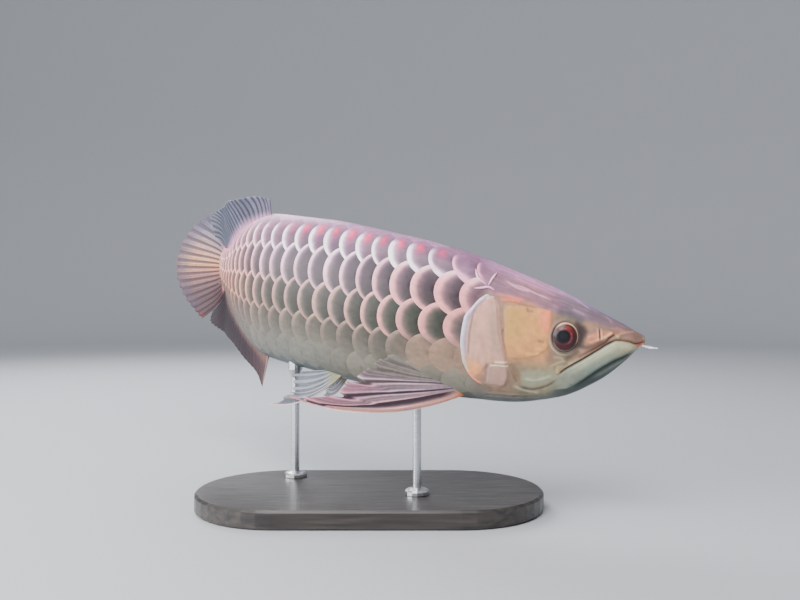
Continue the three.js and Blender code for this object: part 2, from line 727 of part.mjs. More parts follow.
const DORSAL = {
  roots: [[279, 49], [300, 43.5], [320, 34.5], [338, 23.5], [352, 16.5], [364, 12]],
  tips: [[283, 66], [302, 67], [346, 62], [384, 56], [412, 48], [422, 39], [409, 24]],
  rays: 15,
  rows: 3,
  bow: () => 1.5,
  sway: (a) => -6 * a * a,
  rootHalf: () => 1.6,
  notch: 0.05,
};
const ANAL = {
  roots: [[266, -45], [296, -39], [322, -30], [346, -20], [362, -14], [378, -11]],
  tips: [[272, -73], [283, -64], [306, -59], [336, -54], [368, -55], [392, -56.5], [409, -52.5], [408.5, -42.6]],
  rays: 17,
  rows: 3,
  bow: () => -1,
  sway: () => 0,
  rootHalf: () => 1.4,
  notch: 0.05,
};
const CAUDAL_ROOT = TAIL_END * STANDARD_LENGTH + GAP / 2;
const CAUDAL = {
  roots: [[CAUDAL_ROOT, 16.2], [CAUDAL_ROOT, 5], [CAUDAL_ROOT, -5], [CAUDAL_ROOT, -16]],
  tips: [[430, 40], [449, 26], [460, 9], [463.5, -8], [459, -23], [446, -37], [431, -46], [420, -51.5]],
  rays: 15,
  rows: 5,
  bow: (a) => 3 * (0.5 - a),
  sway: () => 0,
  rootHalf: (a) => 0.9 + 3.4 * Math.sqrt(Math.max(0, 1 - (2 * a - 1) ** 2)),
  notch: 0.03,
};

const PAIRED_ROOT_SUNK = 2.5;

// A paired fin: rays fan from a short root on the body to tips given as lengths back, out and up
function pairedFin({ rootFront, rootRear, tips, droop, rays, rows, notch }, side, flare) {
  const start = sidePoint(...rootFront, side, -PAIRED_ROOT_SUNK).point;
  const end = sidePoint(...rootRear, side, -PAIRED_ROOT_SUNK).point;
  const axis = axisAt(rootFront[0] / STANDARD_LENGTH);
  const reaches = tips.map(([back, out, up]) => new THREE.Vector3(back, out + flare * back, up));
  const curve = new THREE.CatmullRomCurve3(reaches);
  const middle = (a, b) => {
    const reach = curve.getPoint(a);
    const root = start.clone().lerp(end, a);
    const tip = start.clone().addScaledVector(axis.back, reach.x)
      .addScaledVector(axis.left, side * reach.y).addScaledVector(axis.up, reach.z);
    return root.lerp(tip, b).addScaledVector(axis.up, -droop * 4 * b * (1 - b) * (1 - a));
  };
  return rayedSheet(rays, rows, middle, () => 1, notch);
}

const PECTORAL = {
  rootFront: [101, -44.5],
  rootRear: [106, -37],
  tips: [[105, 35.5, -12.5], [82, 28.5, -10], [72, 23, -1], [62.5, 18, 8.5], [55, 13, 16], [47, 9.5, 19.5]],
  droop: 12,
  rays: 7,
  rows: 7,
  notch: 0.1,
};
const PELVIC = {
  rootFront: [186, -45.5],
  rootRear: [194, -44.5],
  tips: [[42, 25, -27], [32, 18, -19], [31.5, 15, -17], [33, 12, -13], [35, 9.5, -7.6], [32.5, 4.5, -4.6]],
  droop: 8,
  rays: 6,
  rows: 5,
  notch: 0.12,
};
// How far the left pair spreads wider than the right, as a share of each ray's length back
const LEFT_FLARE = { pectoral: 0.25, pelvic: 0.08 };

// Display stand

const STAND = { length: 230, width: 116, height: 12, bevel: 1.5 };
const ROD = { radius: 2.8, footRadius: 8, footHeight: 3 };
const CUP = { radius: 5, depth: 9, flare: 6, intoBelly: 5 };
const ROD_PLACES = { front: 0.345, rear: 0.6 };

function standBase() {
  const half = STAND.width / 2 - STAND.bevel;
  const straight = STAND.length / 2 - STAND.width / 2;
  const outline = new THREE.Shape();
  outline.absarc(straight, 0, half, -Math.PI / 2, Math.PI / 2, false);
  outline.absarc(-straight, 0, half, Math.PI / 2, (3 * Math.PI) / 2, false);
  const plate = new THREE.ExtrudeGeometry(outline, {
    depth: STAND.height - 2 * STAND.bevel,
    bevelThickness: STAND.bevel,
    bevelSize: STAND.bevel,
    bevelSegments: 1,
    curveSegments: 10,
  });
  return solidFromGeometry(plate, (p) => p.add(new THREE.Vector3(0, 0, STAND.bevel)));
}

// A rod with a foot on the base and a cup at the top that takes the belly's own shape
function standRod(place, body) {
  const belly = bodyPoint(place * STANDARD_LENGTH, -bellyDepth(place) * STANDARD_LENGTH);
  const foot = STAND.height + GAP;
  const top = belly.z + CUP.intoBelly;
  const profile = [
    [0, foot], [ROD.footRadius, foot], [ROD.footRadius, foot + ROD.footHeight - 1],
    [ROD.footRadius - 1, foot + ROD.footHeight], [ROD.radius, foot + ROD.footHeight + 1],
    [ROD.radius, belly.z - CUP.depth], [CUP.radius, belly.z - CUP.depth + CUP.flare],
    [CUP.radius, top], [0, top],
  ];
  const rod = new THREE.LatheGeometry(profile.map(([r, z]) => new THREE.Vector2(r, z)), 14);
  const upright = solidFromGeometry(rod, (p) => new THREE.Vector3(belly.x + p.x, belly.y + p.z, p.y));
  return clearOf(upright, body, new THREE.Vector3(0, 0, -1));
}

// The whole model

function makeArowana() {
  const group = new THREE.Group();
  const add = (name, solid, material) => group.add(meshOf(name, solid, material));

  const { head, lowerJaw } = makeHeadParts();
  add('head', head, HEAD_SKIN);
  add('lower_jaw', lowerJaw, HEAD_SKIN);

  const body = scaledBody();
  const tail = bodyLength(body, TAIL_START, TAIL_END);
  add('trunk_front', bodyLength(body, HEAD_END, TRUNK_MIDDLE), SCALE_SKIN);
  add('trunk_rear', bodyLength(body, TRUNK_MIDDLE, TAIL_START), SCALE_SKIN);
  add('tail', tail, SCALE_SKIN);

  const upAt = (place) => axisAt(place).up;
  add('dorsal_fin', clearOf(medianFin(DORSAL), tail, upAt(0.82)), DORSAL_GREY);
  add('anal_fin', clearOf(medianFin(ANAL), tail, upAt(0.82).negate()), ANAL_BROWN);
  add('caudal_fin', medianFin(CAUDAL), CAUDAL_RUSSET);

  for (const [side, word] of [[RIGHT, 'right'], [LEFT, 'left']]) {
    add(`gill_cover_${word}`, gillCover(side), GILL_GOLD);
    add(`eye_${word}`, eyeBall(side), EYE_RED);
    add(`barbel_${word}`, barbel(side, lowerJaw), BARBEL_WHITE);
    const fins = [['pectoral', PECTORAL], ['pelvic', PELVIC]];
    for (const [fin, form] of fins) {
      const flare = side === LEFT ? LEFT_FLARE[fin] : 0;
      const root = axisAt(form.rootFront[0] / STANDARD_LENGTH);
      const out = root.left.clone().multiplyScalar(side);
      const down = root.up.clone().negate();
      const solid = clearOf(pairedFin(form, side, flare), body, out, down, root.back);
      add(`${fin}_fin_${word}`, solid, PAIRED_PINK);
    }
  }

  add('stand_base', standBase(), STAND_BLACK);
  add('stand_rod_front', standRod(ROD_PLACES.front, body), STAND_STEEL);
  add('stand_rod_rear', standRod(ROD_PLACES.rear, body), STAND_STEEL);
  return group;
}

export default makeArowana();
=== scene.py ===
# Asian arowana, life size, as a still display model on a plain stand.
#
# Every measure of the fish is in millimetres until make_piece turns it into metres.
# Three numbers place a point on the fish: s, the distance along its centreline from the snout,
# h, the height over the centreline, and out, the distance to the fish's left.
# On the skin two others do: the place, which is s in body lengths, and the share of the way
# round the half section, from 0 on the back to 1 on the belly.

from types import SimpleNamespace

import bpy
import numpy as np
from mathutils import Matrix


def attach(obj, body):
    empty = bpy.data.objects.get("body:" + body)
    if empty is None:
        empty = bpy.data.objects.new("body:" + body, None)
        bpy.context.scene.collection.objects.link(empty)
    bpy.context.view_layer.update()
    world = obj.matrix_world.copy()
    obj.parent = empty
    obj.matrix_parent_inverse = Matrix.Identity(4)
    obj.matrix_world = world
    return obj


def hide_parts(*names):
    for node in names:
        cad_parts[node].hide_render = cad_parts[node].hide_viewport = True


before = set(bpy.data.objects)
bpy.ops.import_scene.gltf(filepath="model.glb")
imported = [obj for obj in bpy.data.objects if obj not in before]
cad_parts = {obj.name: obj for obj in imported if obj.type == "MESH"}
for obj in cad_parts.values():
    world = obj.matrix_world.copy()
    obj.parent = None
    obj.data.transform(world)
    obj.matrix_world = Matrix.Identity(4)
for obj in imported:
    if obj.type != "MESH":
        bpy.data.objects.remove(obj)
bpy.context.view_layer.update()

# Driving dimensions, the same as the solids'
MM = 0.001
STANDARD_LENGTH = 390.0
SNOUT = np.array([168.0, -42.0, 112.0])
LEFT, RIGHT = 1, -1
SIDES = ((RIGHT, "right"), (LEFT, "left"))
BEND_FROM, HEAD_HEADING, TAIL_HEADING = 0.21, 8.0, 74.0
RELAX_FROM, RELAX_OVER, RELAX_ANGLE = 0.97, 0.12, 40.0
HEAD_CLIMB, TAIL_CLIMB = 4.4, 11.3
# Stations in body lengths: place, back height, belly depth, half width, widest level
BODY_STATIONS = (
    (0.00, 0.008, 0.006, 0.010, 0.000),
    (0.02, 0.020, 0.031, 0.028, 0.000),
    (0.06, 0.038, 0.068, 0.041, 0.002),
    (0.12, 0.065, 0.101, 0.051, 0.006),
    (0.20, 0.092, 0.117, 0.057, 0.014),
    (0.30, 0.119, 0.120, 0.060, 0.024),
    (0.42, 0.136, 0.124, 0.060, 0.028),
    (0.55, 0.146, 0.122, 0.056, 0.028),
    (0.68, 0.145, 0.124, 0.047, 0.022),
    (0.80, 0.110, 0.095, 0.029, 0.010),
    (0.86, 0.074, 0.069, 0.021, 0.005),
    (0.92, 0.052, 0.048, 0.017, 0.002),
    (1.00, 0.044, 0.043, 0.012, 0.000),
)
BACK_POWER, BELLY_POWER = 2.35, 1.75
HEAD_END, TAIL_END = 0.235, 0.985
GAP = 0.3


# Curves


def smooth(value, low=0.0, high=1.0):
    """0 below low, 1 above high, and an even change between them"""
    t = np.clip((np.asarray(value, float) - low) / (high - low), 0, 1)
    return t * t * (3 - 2 * t)


def fall(value, low, high):
    """1 below low, 0 above high, and an even change between them"""
    return 1 - smooth(value, low, high)


def between(value, low, full, leave, high):
    """1 from full to leave, falling to 0 at low and high"""
    return smooth(value, low, full) * fall(value, leave, high)


def bump(distance, width=1.0):
    """1 on a line, falling softly to 0 some widths away from it"""
    return np.exp(-((distance / width) ** 2))


def station_curve(places, values):
    """A smooth curve through stations that never overshoots them"""
    places, values = np.asarray(places, float), np.asarray(values, float)
    slopes = np.diff(values) / np.diff(places)
    product = slopes[:-1] * slopes[1:]
    total = np.where(product > 0, slopes[:-1] + slopes[1:], 1)
    inner = np.where(product > 0, 2 * product / total, 0)
    tangents = np.concatenate([slopes[:1], inner, slopes[-1:]])

    def curve(place):
        at = np.clip(place, places[0], places[-1])
        i = np.clip(np.searchsorted(places, at) - 1, 0, len(places) - 2)
        step = places[i + 1] - places[i]
        t = (at - places[i]) / step
        start = (2 * t**3 - 3 * t**2 + 1) * values[i] + (t**3 - 2 * t**2 + t) * step * tangents[i]
        end = (3 * t**2 - 2 * t**3) * values[i + 1] + (t**3 - t**2) * step * tangents[i + 1]
        return start + end

    return curve


def spline(points):
    """A smooth curve through points, run from 0 to 1"""
    points = np.asarray(points, float)
    padded = np.vstack([points[:1], points, points[-1:]])
    spans = len(points) - 1

    def curve(t):
        x = np.clip(t, 0, 1) * spans
        i = np.clip(np.floor(x).astype(int), 0, spans - 1)
        f = np.asarray(x - i)[..., None]
        before, start, end, after = (padded[i + k] for k in range(4))
        leave, arrive = (end - before) / 2, (after - start) / 2
        cubic = 2 * start - 2 * end + leave + arrive
        square = 3 * end - 3 * start - 2 * leave - arrive
        return cubic * f**3 + square * f**2 + leave * f + start

    return curve


# The body


def directions_at(place):
    """Unit vectors backwards, upwards and to the fish's left"""
    place = np.asarray(place, float)
    turn = np.clip((place - BEND_FROM) / (1 - BEND_FROM), 0, 1)
    relax = RELAX_ANGLE * smooth((place - RELAX_FROM) / RELAX_OVER)
    heading = np.radians(HEAD_HEADING + (TAIL_HEADING - HEAD_HEADING) * turn - relax)
    climb = np.radians(HEAD_CLIMB + (TAIL_CLIMB - HEAD_CLIMB) * np.clip(place, 0, 1))
    flat = np.zeros_like(heading)
    back = (-np.cos(heading) * np.cos(climb), np.sin(heading) * np.cos(climb), np.sin(climb))
    up = (np.cos(heading) * np.sin(climb), -np.sin(heading) * np.sin(climb), np.cos(climb))
    left = (np.sin(heading), np.cos(heading), flat)
    return tuple(np.stack(direction, -1) for direction in (back, up, left))


AXIS_PLACES = np.linspace(-0.1, 1.3, 521)


def make_axis():
    """Points along the body's centreline, from ahead of the snout to behind the tail fin"""
    step = AXIS_PLACES[1] - AXIS_PLACES[0]
    steps = directions_at(AXIS_PLACES[:-1] + step / 2)[0] * step * STANDARD_LENGTH
    start = SNOUT + directions_at(0.0)[0] * AXIS_PLACES[0] * STANDARD_LENGTH
    return np.vstack([start, start + np.cumsum(steps, 0)])


AXIS = make_axis()


def body_point(s, h, out=0.0):
    """A point in the object's frame from s, h and out"""
    s, h, out = np.broadcast_arrays(np.asarray(s, float), h, out)
    place = s / STANDARD_LENGTH
    middle = np.stack([np.interp(place, AXIS_PLACES, AXIS[:, k]) for k in range(3)], -1)
    _, up, left = directions_at(place)
    return middle + up * h[..., None] + left * out[..., None]


STATIONS = np.array(BODY_STATIONS)
back_height, belly_depth, half_width, widest_level = (
    station_curve(STATIONS[:, 0], STATIONS[:, k]) for k in range(1, 5)
)


def section_at(place):
    """Widest level, reach above it, reach below it and half width, in millimetres"""
    level = widest_level(place) * STANDARD_LENGTH
    above = back_height(place) * STANDARD_LENGTH - level
    below = belly_depth(place) * STANDARD_LENGTH + level
    # The body thins to an edge between the rays of the tail fin
    narrow = 1 - 0.85 * smooth(place, TAIL_END - 0.01, TAIL_END + 0.05)
    return level, above, below, half_width(place) * STANDARD_LENGTH * narrow


TABLE_PLACES = np.linspace(-0.02, 1.12, 571)
TABLE_SHARES = np.linspace(0, 1, 161)


def make_section_table():
    """Height and width at even shares of the half section, and the half section's length"""
    angle = np.linspace(0, np.pi, 321)
    power = 2 / np.where(angle < np.pi / 2, BACK_POWER, BELLY_POWER)
    heights, widths, lengths = [], [], []
    for place in TABLE_PLACES:
        level, above, below, half = section_at(place)
        reach = np.where(angle < np.pi / 2, above, below)
        height = level + reach * np.sign(np.cos(angle)) * np.abs(np.cos(angle)) ** power
        width = half * np.abs(np.sin(angle)) ** power
        length = np.concatenate([[0], np.cumsum(np.hypot(np.diff(height), np.diff(width)))])
        heights.append(np.interp(TABLE_SHARES * length[-1], length, height))
        widths.append(np.interp(TABLE_SHARES * length[-1], length, width))
        lengths.append(length[-1])
    return np.array(heights), np.array(widths), np.array(lengths)


HEIGHTS, WIDTHS, HALF_GIRTHS = make_section_table()


def half_girth(place):
    return np.interp(place, TABLE_PLACES, HALF_GIRTHS)


def even_section(place, share):
    """Height and width of the skin at a share of the way from back to belly"""
    place, share = np.broadcast_arrays(np.asarray(place, float), share)
    last_row, last_column = len(TABLE_PLACES) - 1.001, len(TABLE_SHARES) - 1.001
    x = np.clip((place - TABLE_PLACES[0]) / (TABLE_PLACES[1] - TABLE_PLACES[0]), 0, last_row)
    y = np.clip(share, 0, 1) * last_column
    i, j = x.astype(int), y.astype(int)
    fx, fy = x - i, y - j

    def sample(table):
        near = table[i, j] * (1 - fy) + table[i, j + 1] * fy
        far = table[i + 1, j] * (1 - fy) + table[i + 1, j + 1] * fy
        return near * (1 - fx) + far * fx

    return sample(HEIGHTS), sample(WIDTHS)


def skin_point(place, turn):
    """turn runs from 0 on the back down the right side to 0.5 and up the left side to 1"""
    turn = np.mod(turn, 1)
    right = turn <= 0.5
    height, width = even_section(place, np.where(right, 2 * turn, 2 - 2 * turn))
    return body_point(np.asarray(place) * STANDARD_LENGTH, height, np.where(right, -width, width))


def unit(vectors):
    return vectors / np.maximum(np.linalg.norm(vectors, axis=-1, keepdims=True), 1e-12)


def skin_normal(place, turn):
    """Unit vector out of the skin"""
    step = 0.002
    along = skin_point(place + step, turn) - skin_point(place - step, turn)
    round_it = skin_point(place, turn + step) - skin_point(place, turn - step)
    return unit(np.cross(along, round_it))


def side_point(s, h, side, lift=0.0):
    """A point on the side of the body at a height, lifted off the skin, and the skin's normal"""

    def on_skin(s, h):
        level, above, below, half = section_at(np.asarray(s) / STANDARD_LENGTH)
        reach = np.where(h > level, above, below)
        power = np.where(h > level, BACK_POWER, BELLY_POWER)
        t = np.clip(np.abs(h - level) / reach, 0, 0.9999)
        return body_point(s, h, side * half * (1 - t**power) ** (1 / power))

    step = 0.4
    s, h = np.broadcast_arrays(np.asarray(s, float), h)
    along = on_skin(s + step, h) - on_skin(s - step, h)
    upward = on_skin(s, h + step) - on_skin(s, h - step)
    normal = unit(np.cross(along, upward)) * side
    return on_skin(s, h) + normal * np.asarray(lift)[..., None], normal


# Colours, written as 0 to 255 and mixed as the eye sees them


def tint(colours, colour, mask):
    """Mixes a colour in where the mask is 1"""
    return colours + (np.asarray(colour, float) - colours) * np.asarray(mask)[..., None]


class Paint:
    """Colours over a surface and its height over the skin, built up one mark after another"""

    def __init__(self, colours, lift=0.0):
        self.colours = colours
        self.lift = lift

    def tint(self, colour, mask):
        self.colours = tint(self.colours, colour, mask)

    def shade(self, factor):
        self.colours = self.colours * factor[..., None]

    def mark(self, colour, strength, relief, mask):
        """A mark that takes a colour and rises or sinks"""
        self.tint(colour, strength * mask)
        self.lift = self.lift + relief * mask

    def draw(self, line_groups, near, soft):
        """Marks along groups of lines: half width, colour, strength and relief, then each line"""
        for width, colour, strength, relief, lines in line_groups:
            for line in lines:
                distance, along = near(line)
                self.mark(colour, strength, relief, bump(distance, width) * ends(along, soft))


def tone_curve(places, colours):
    """A colour that changes along stations"""
    channels = [station_curve(places, channel) for channel in np.array(colours, float).T]
    return lambda place: np.stack([channel(place) for channel in channels], -1)


DULL, VIVID = 1.0, 1.42
FILM_LOW, FILM_HIGH, STUDIO_LEVEL = 0.85, 1.37, 2.05


def reflectance(colours):
    """The share of light that a surface reflects to show its colour under the studio's lights"""
    grey = colours.mean(-1, keepdims=True)
    chroma = DULL + (VIVID - DULL) * smooth(grey, 90, 200)
    vivid = np.clip(grey + (colours - grey) * chroma, 3, 253) / 255
    light = np.where(vivid > 0.04045, ((vivid + 0.055) / 1.055) ** 2.4, vivid / 12.92)
    return np.clip(light * (FILM_LOW + FILM_HIGH * light) / STUDIO_LEVEL, 0.002, 0.92)


CLOUD_SIZE, CLOUD_SEED = 64, 5
CLOUD_VALUES = np.random.default_rng(CLOUD_SEED).uniform(-1, 1, (CLOUD_SIZE, CLOUD_SIZE))


def cloud(x, y):
    """Soft noise from -1 to 1 over a plane, in lumps one unit across"""
    x, y = np.broadcast_arrays(np.asarray(x, float), y)
    i, j = np.floor(x).astype(int), np.floor(y).astype(int)
    across, down = smooth(x - i), smooth(y - j)

    def corner(step_i, step_j):
        return CLOUD_VALUES[(i + step_i) % CLOUD_SIZE, (j + step_j) % CLOUD_SIZE]

    near = corner(0, 0) * (1 - across) + corner(1, 0) * across
    far = corner(0, 1) * (1 - across) + corner(1, 1) * across
    return near * (1 - down) + far * down


def near_path(points, path, reach=9.0):
    """Distance from points to a path and how far along it the nearest spot is, close to the path"""
    close = np.all((points > path.min(0) - reach) & (points < path.max(0) + reach), -1)
    chosen = points[close]
    best = np.full(len(chosen), 99.0)
    along = np.zeros(len(chosen))
    for k in range(len(path) - 1):
        step = path[k + 1] - path[k]
        offset = chosen - path[k]
        t = np.clip(offset @ step / max(step @ step, 1e-9), 0, 1)
        distance = np.linalg.norm(offset - t[:, None] * step, axis=-1)
        closer = distance < best
        best = np.where(closer, distance, best)
        along = np.where(closer, (k + t) / (len(path) - 1), along)
    all_best, all_along = np.full(close.shape, 99.0), np.zeros(close.shape)
    all_best[close], all_along[close] = best, along
    return all_best, all_along


def ends(along, soft=0.12):
    """1 along a line, fading at its two ends"""
    return between(along, 0, soft, 1 - soft, 1)


def inside_polygon(x, y, corners):
    """Distance inside a polygon, negative outside it"""
    inside = np.zeros(np.shape(x), bool)
    best = np.full(np.shape(x), np.inf)
    for (x0, y0), (x1, y1) in zip(corners, corners[1:] + corners[:1]):
        crosses = ((y0 > y) != (y1 > y)) & (x < (x1 - x0) * (y - y0) / (y1 - y0 + 1e-12) + x0)
        inside = inside ^ crosses
        t = np.clip(((x - x0) * (x1 - x0) + (y - y0) * (y1 - y0)) / ((x1 - x0) ** 2 + (y1 - y0) ** 2), 0, 1)
        best = np.minimum(best, np.hypot(x - x0 - t * (x1 - x0), y - y0 - t * (y1 - y0)))
    return np.where(inside, best, -best)


# Meshes


def grid_faces(rows, columns, wrap=False, first=0):
    """Quads over rows and columns of vertices, and each corner's row and column as shares"""
    spans = columns if wrap else columns - 1
    row, column = np.meshgrid(np.arange(rows - 1), np.arange(spans), indexing="ij")
    corners = []
    places = []
    for down, across in ((0, 0), (0, 1), (1, 1), (1, 0)):
        corners.append(first + (row + down) * columns + (column + across) % columns)
        places.append(np.stack([(row + down) / (rows - 1), (column + across) / spans], -1))
    return np.stack(corners, -1).reshape(-1, 4), np.stack(places, -2).reshape(-1, 4, 2)


def signed_volume(points, faces):
    corners = points[faces]
    total = 0.0
    for k in range(1, faces.shape[1] - 1):
        crossed = np.cross(corners[:, k], corners[:, k + 1])
        total += np.einsum("ij,ij->", corners[:, 0], crossed) / 6
    return total


def make_piece(name, points, face_groups, material, colours=None, values=None):
    """A mesh object in metres. A face group is an array of faces and the map places of its corners."""
    volume = sum(signed_volume(points, faces) for faces, _ in face_groups)
    if volume < 0:
        face_groups = [(faces[:, ::-1], places[:, ::-1]) for faces, places in face_groups]
    mesh = bpy.data.meshes.new(name)
    mesh.from_pydata((points * MM).tolist(), [], [f for faces, _ in face_groups for f in faces.tolist()])
    layer = mesh.uv_layers.new(name="OFBake")
    flat = np.concatenate([places.reshape(-1, 2) for _, places in face_groups])
    layer.data.foreach_set("uv", flat.astype(np.float32).ravel())
    if colours is not None:
        attribute = mesh.color_attributes.new(name="paint", type="FLOAT_COLOR", domain="POINT")
        paint = np.hstack([reflectance(colours), np.ones((len(points), 1))])
        attribute.data.foreach_set("color", paint.astype(np.float32).ravel())
    for key, value in (values or {}).items():
        attribute = mesh.attributes.new(name=key, type="FLOAT", domain="POINT")
        attribute.data.foreach_set("value", np.asarray(value, np.float32).ravel())
    mesh.shade_smooth()
    mesh.materials.append(material)
    mesh.validate()
    piece = bpy.data.objects.new(name, mesh)
    bpy.context.scene.collection.objects.link(piece)
    return piece


def finish_piece(piece, slot, *nodes):
    """Attaches a piece to the root body and hides the nodes that it stands in for; the slot is not used"""
    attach(piece, "root")
    if nodes:
        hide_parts(*nodes)


def fan(hub, ring, corner=(0.0, 0.0), size=0.004):
    """Triangles from a hub to a closed ring, mapped to a small disc at a corner of the map"""
    after = np.roll(ring, -1)
    faces = np.stack([np.full_like(ring, hub), ring, after], -1)
    angle = np.linspace(0, 2 * np.pi, len(ring) + 1)
    rim = np.stack([np.cos(angle), np.sin(angle)], -1) * size + size + np.array(corner)
    middle = np.broadcast_to(np.array(corner) + size, rim[:-1].shape)
    return faces, np.stack([middle, rim[:-1], rim[1:]], -2)


def closed_sheet(front, behind):
    """Points and faces of a sheet from its two faces, grids of rows and columns of points"""
    rows, columns = front.shape[:2]
    far = rows * columns
    points = np.concatenate([front.reshape(-1, 3), behind.reshape(-1, 3)])
    faces, places = grid_faces(rows, columns)
    size, edge = 0.48, 0.004
    near_map = places * (1, size)
    far_map = places * (1, size) + (0, 1 - size)
    index = np.arange(far).reshape(rows, columns)
    rim = np.concatenate([index[0, :-1], index[:-1, -1], index[-1, :0:-1], index[:0:-1, 0]])
    after = np.roll(rim, -1)
    share = np.stack([rim // columns / (rows - 1), rim % columns / (columns - 1) * size], -1)
    share_after = np.roll(share, -1, axis=0)
    outward = (0, edge)
    strip = np.stack([share, share_after, share_after + outward, share + outward], -2)
    walls = np.stack([rim, after, after + far, rim + far], -1)
    return points, [(faces[:, ::-1], near_map[:, ::-1]), (faces + far, far_map), (walls, strip)]


TUBE_SIDES = 20


def ring_piece(name, rings, hubs, material, colours):
    """A closed piece from rings of points and the two points that close its ends"""
    rows, columns = rings.shape[:2]
    hub = rows * columns
    ring = np.arange(columns)
    faces, places = grid_faces(rows, columns, wrap=True)
    last = fan(hub + 1, hub - columns + ring, (0.99, 0.0))
    groups = [(faces, places * 0.98 + 0.01), fan(hub, ring[::-1]), last]
    points = np.vstack([rings.reshape(-1, 3), hubs])
    flat_colours = np.vstack([colours.reshape(-1, 3), colours[0, :1], colours[-1, :1]])
    return make_piece(name, points, groups, material, flat_colours)


def make_tube(name, middles, radii, sideways, upwards, material, colours):
    """A closed round piece along a line of middles"""
    angle = np.linspace(0, 2 * np.pi, TUBE_SIDES, endpoint=False)[None, :, None]
    offset = sideways[:, None] * np.cos(angle) + upwards[:, None] * np.sin(angle)
    rings = middles[:, None] + offset * radii[:, None, None]
    return ring_piece(name, rings, middles[[0, -1]], material, np.repeat(colours[:, None], TUBE_SIDES, 1))


# Materials


class Nodes:
    """Short ways to build a material's node tree"""

    def __init__(self, name, roughness, **sockets):
        self.material = bpy.data.materials.new(name)
        self.material.use_nodes = True
        self.tree = self.material.node_tree
        self.shader = self.tree.nodes["Principled BSDF"]
        self.shader.inputs["Roughness"].default_value = roughness
        for socket, value in sockets.items():
            self.shader.inputs[socket.replace("_", " ")].default_value = value

    def add(self, kind, **settings):
        node = self.tree.nodes.new(kind)
        for key, value in settings.items():
            if key in node.inputs:
                node.inputs[key].default_value = value
            else:
                setattr(node, key, value)
        return node

    def link(self, start, end):
        self.tree.links.new(start, end)

    def attribute(self, name):
        return self.add("ShaderNodeAttribute", attribute_name=name)

    def noise(self, scale, detail=4.0, stretch=(1, 1, 1)):
        """Noise over the object's own space, scale being lumps per metre"""
        place = self.add("ShaderNodeTexCoord")
        turned = self.add("ShaderNodeMapping")
        turned.inputs["Scale"].default_value = stretch
        texture = self.add("ShaderNodeTexNoise", Scale=scale, Detail=detail)
        self.link(place.outputs["Object"], turned.inputs["Vector"])
        self.link(turned.outputs["Vector"], texture.inputs["Vector"])
        return texture.outputs["Fac"]

    def ranged(self, value, low, high):
        node = self.add("ShaderNodeMapRange")
        node.inputs["From Min"].default_value = 0.3
        node.inputs["From Max"].default_value = 0.7
        node.inputs["To Min"].default_value = low
        node.inputs["To Max"].default_value = high
        self.link(value, node.inputs["Value"])
        return node.outputs["Result"]

    def math(self, operation, first, second):
        node = self.add("ShaderNodeMath", operation=operation)
        for socket, value in zip(node.inputs, (first, second)):
            if isinstance(value, (int, float)):
                socket.default_value = value
            else:
                self.link(value, socket)
        return node.outputs["Value"]

    def shade(self, colour, factor):
        """The colour made lighter and darker by a factor"""
        node = self.add("ShaderNodeVectorMath", operation="SCALE")
        self.link(colour, node.inputs[0])
        self.link(factor, node.inputs["Scale"])
        return node.outputs["Vector"]

    def ramp(self, value, *stops):
        """The surface's colour, from two stops of a value and a colour"""
        node = self.add("ShaderNodeValToRGB")
        for element, (position, colour) in zip(node.color_ramp.elements, stops):
            element.position, element.color = position, colour
        self.link(value, node.inputs["Fac"])
        self.link(node.outputs["Color"], self.shader.inputs["Base Color"])

    def bump(self, height, strength, distance):
        node = self.add("ShaderNodeBump", Strength=strength, Distance=distance * MM)
        self.link(height, node.inputs["Height"])
        self.link(node.outputs["Normal"], self.shader.inputs["Normal"])


def painted_material(name, roughness, grain=900.0, relief=0.08, mottle=0.1, **sockets):
    """Painted skin with fine mottling and grain, shared by the pieces that ask for the same name"""
    if name in bpy.data.materials:
        return bpy.data.materials[name]
    made = Nodes(name, roughness, **sockets)
    mottled = made.ranged(made.noise(grain * 0.35), 1 - mottle, 1 + mottle)
    colour = made.shade(made.attribute("paint").outputs["Color"], mottled)
    made.link(colour, made.shader.inputs["Base Color"])
    grained = made.noise(grain * 1.6, 6)
    made.link(made.ranged(grained, roughness * 0.8, roughness * 1.25), made.shader.inputs["Roughness"])
    made.bump(grained, 0.5, relief)
    return made.material


def scale_material():
    """Pearly plates with growth rings that follow their free edges"""
    made = Nodes("pearl_scales", 0.42, Metallic=0.05, Coat_Weight=0.1, Coat_Roughness=0.3,
                 Specular_IOR_Level=0.28)
    paint = made.attribute("paint").outputs["Color"]
    edge = made.attribute("from_edge").outputs["Fac"]
    wavy = made.math("ADD", edge, made.math("MULTIPLY", made.noise(500), 0.5))
    ring = made.math("SINE", made.math("MULTIPLY", wavy, 13.0), 0.0)
    clouds = made.ranged(made.noise(320, 5), 0.9, 1.08)
    ringed = made.math("ADD", clouds, made.math("MULTIPLY", ring, 0.02))
    made.link(made.shade(paint, ringed), made.shader.inputs["Base Color"])
    made.link(made.ranged(made.noise(700), 0.34, 0.52), made.shader.inputs["Roughness"])
    height = made.math("ADD", made.math("MULTIPLY", ring, 0.35), made.noise(1500, 6))
    made.bump(height, 0.35, 0.06)
    return made.material


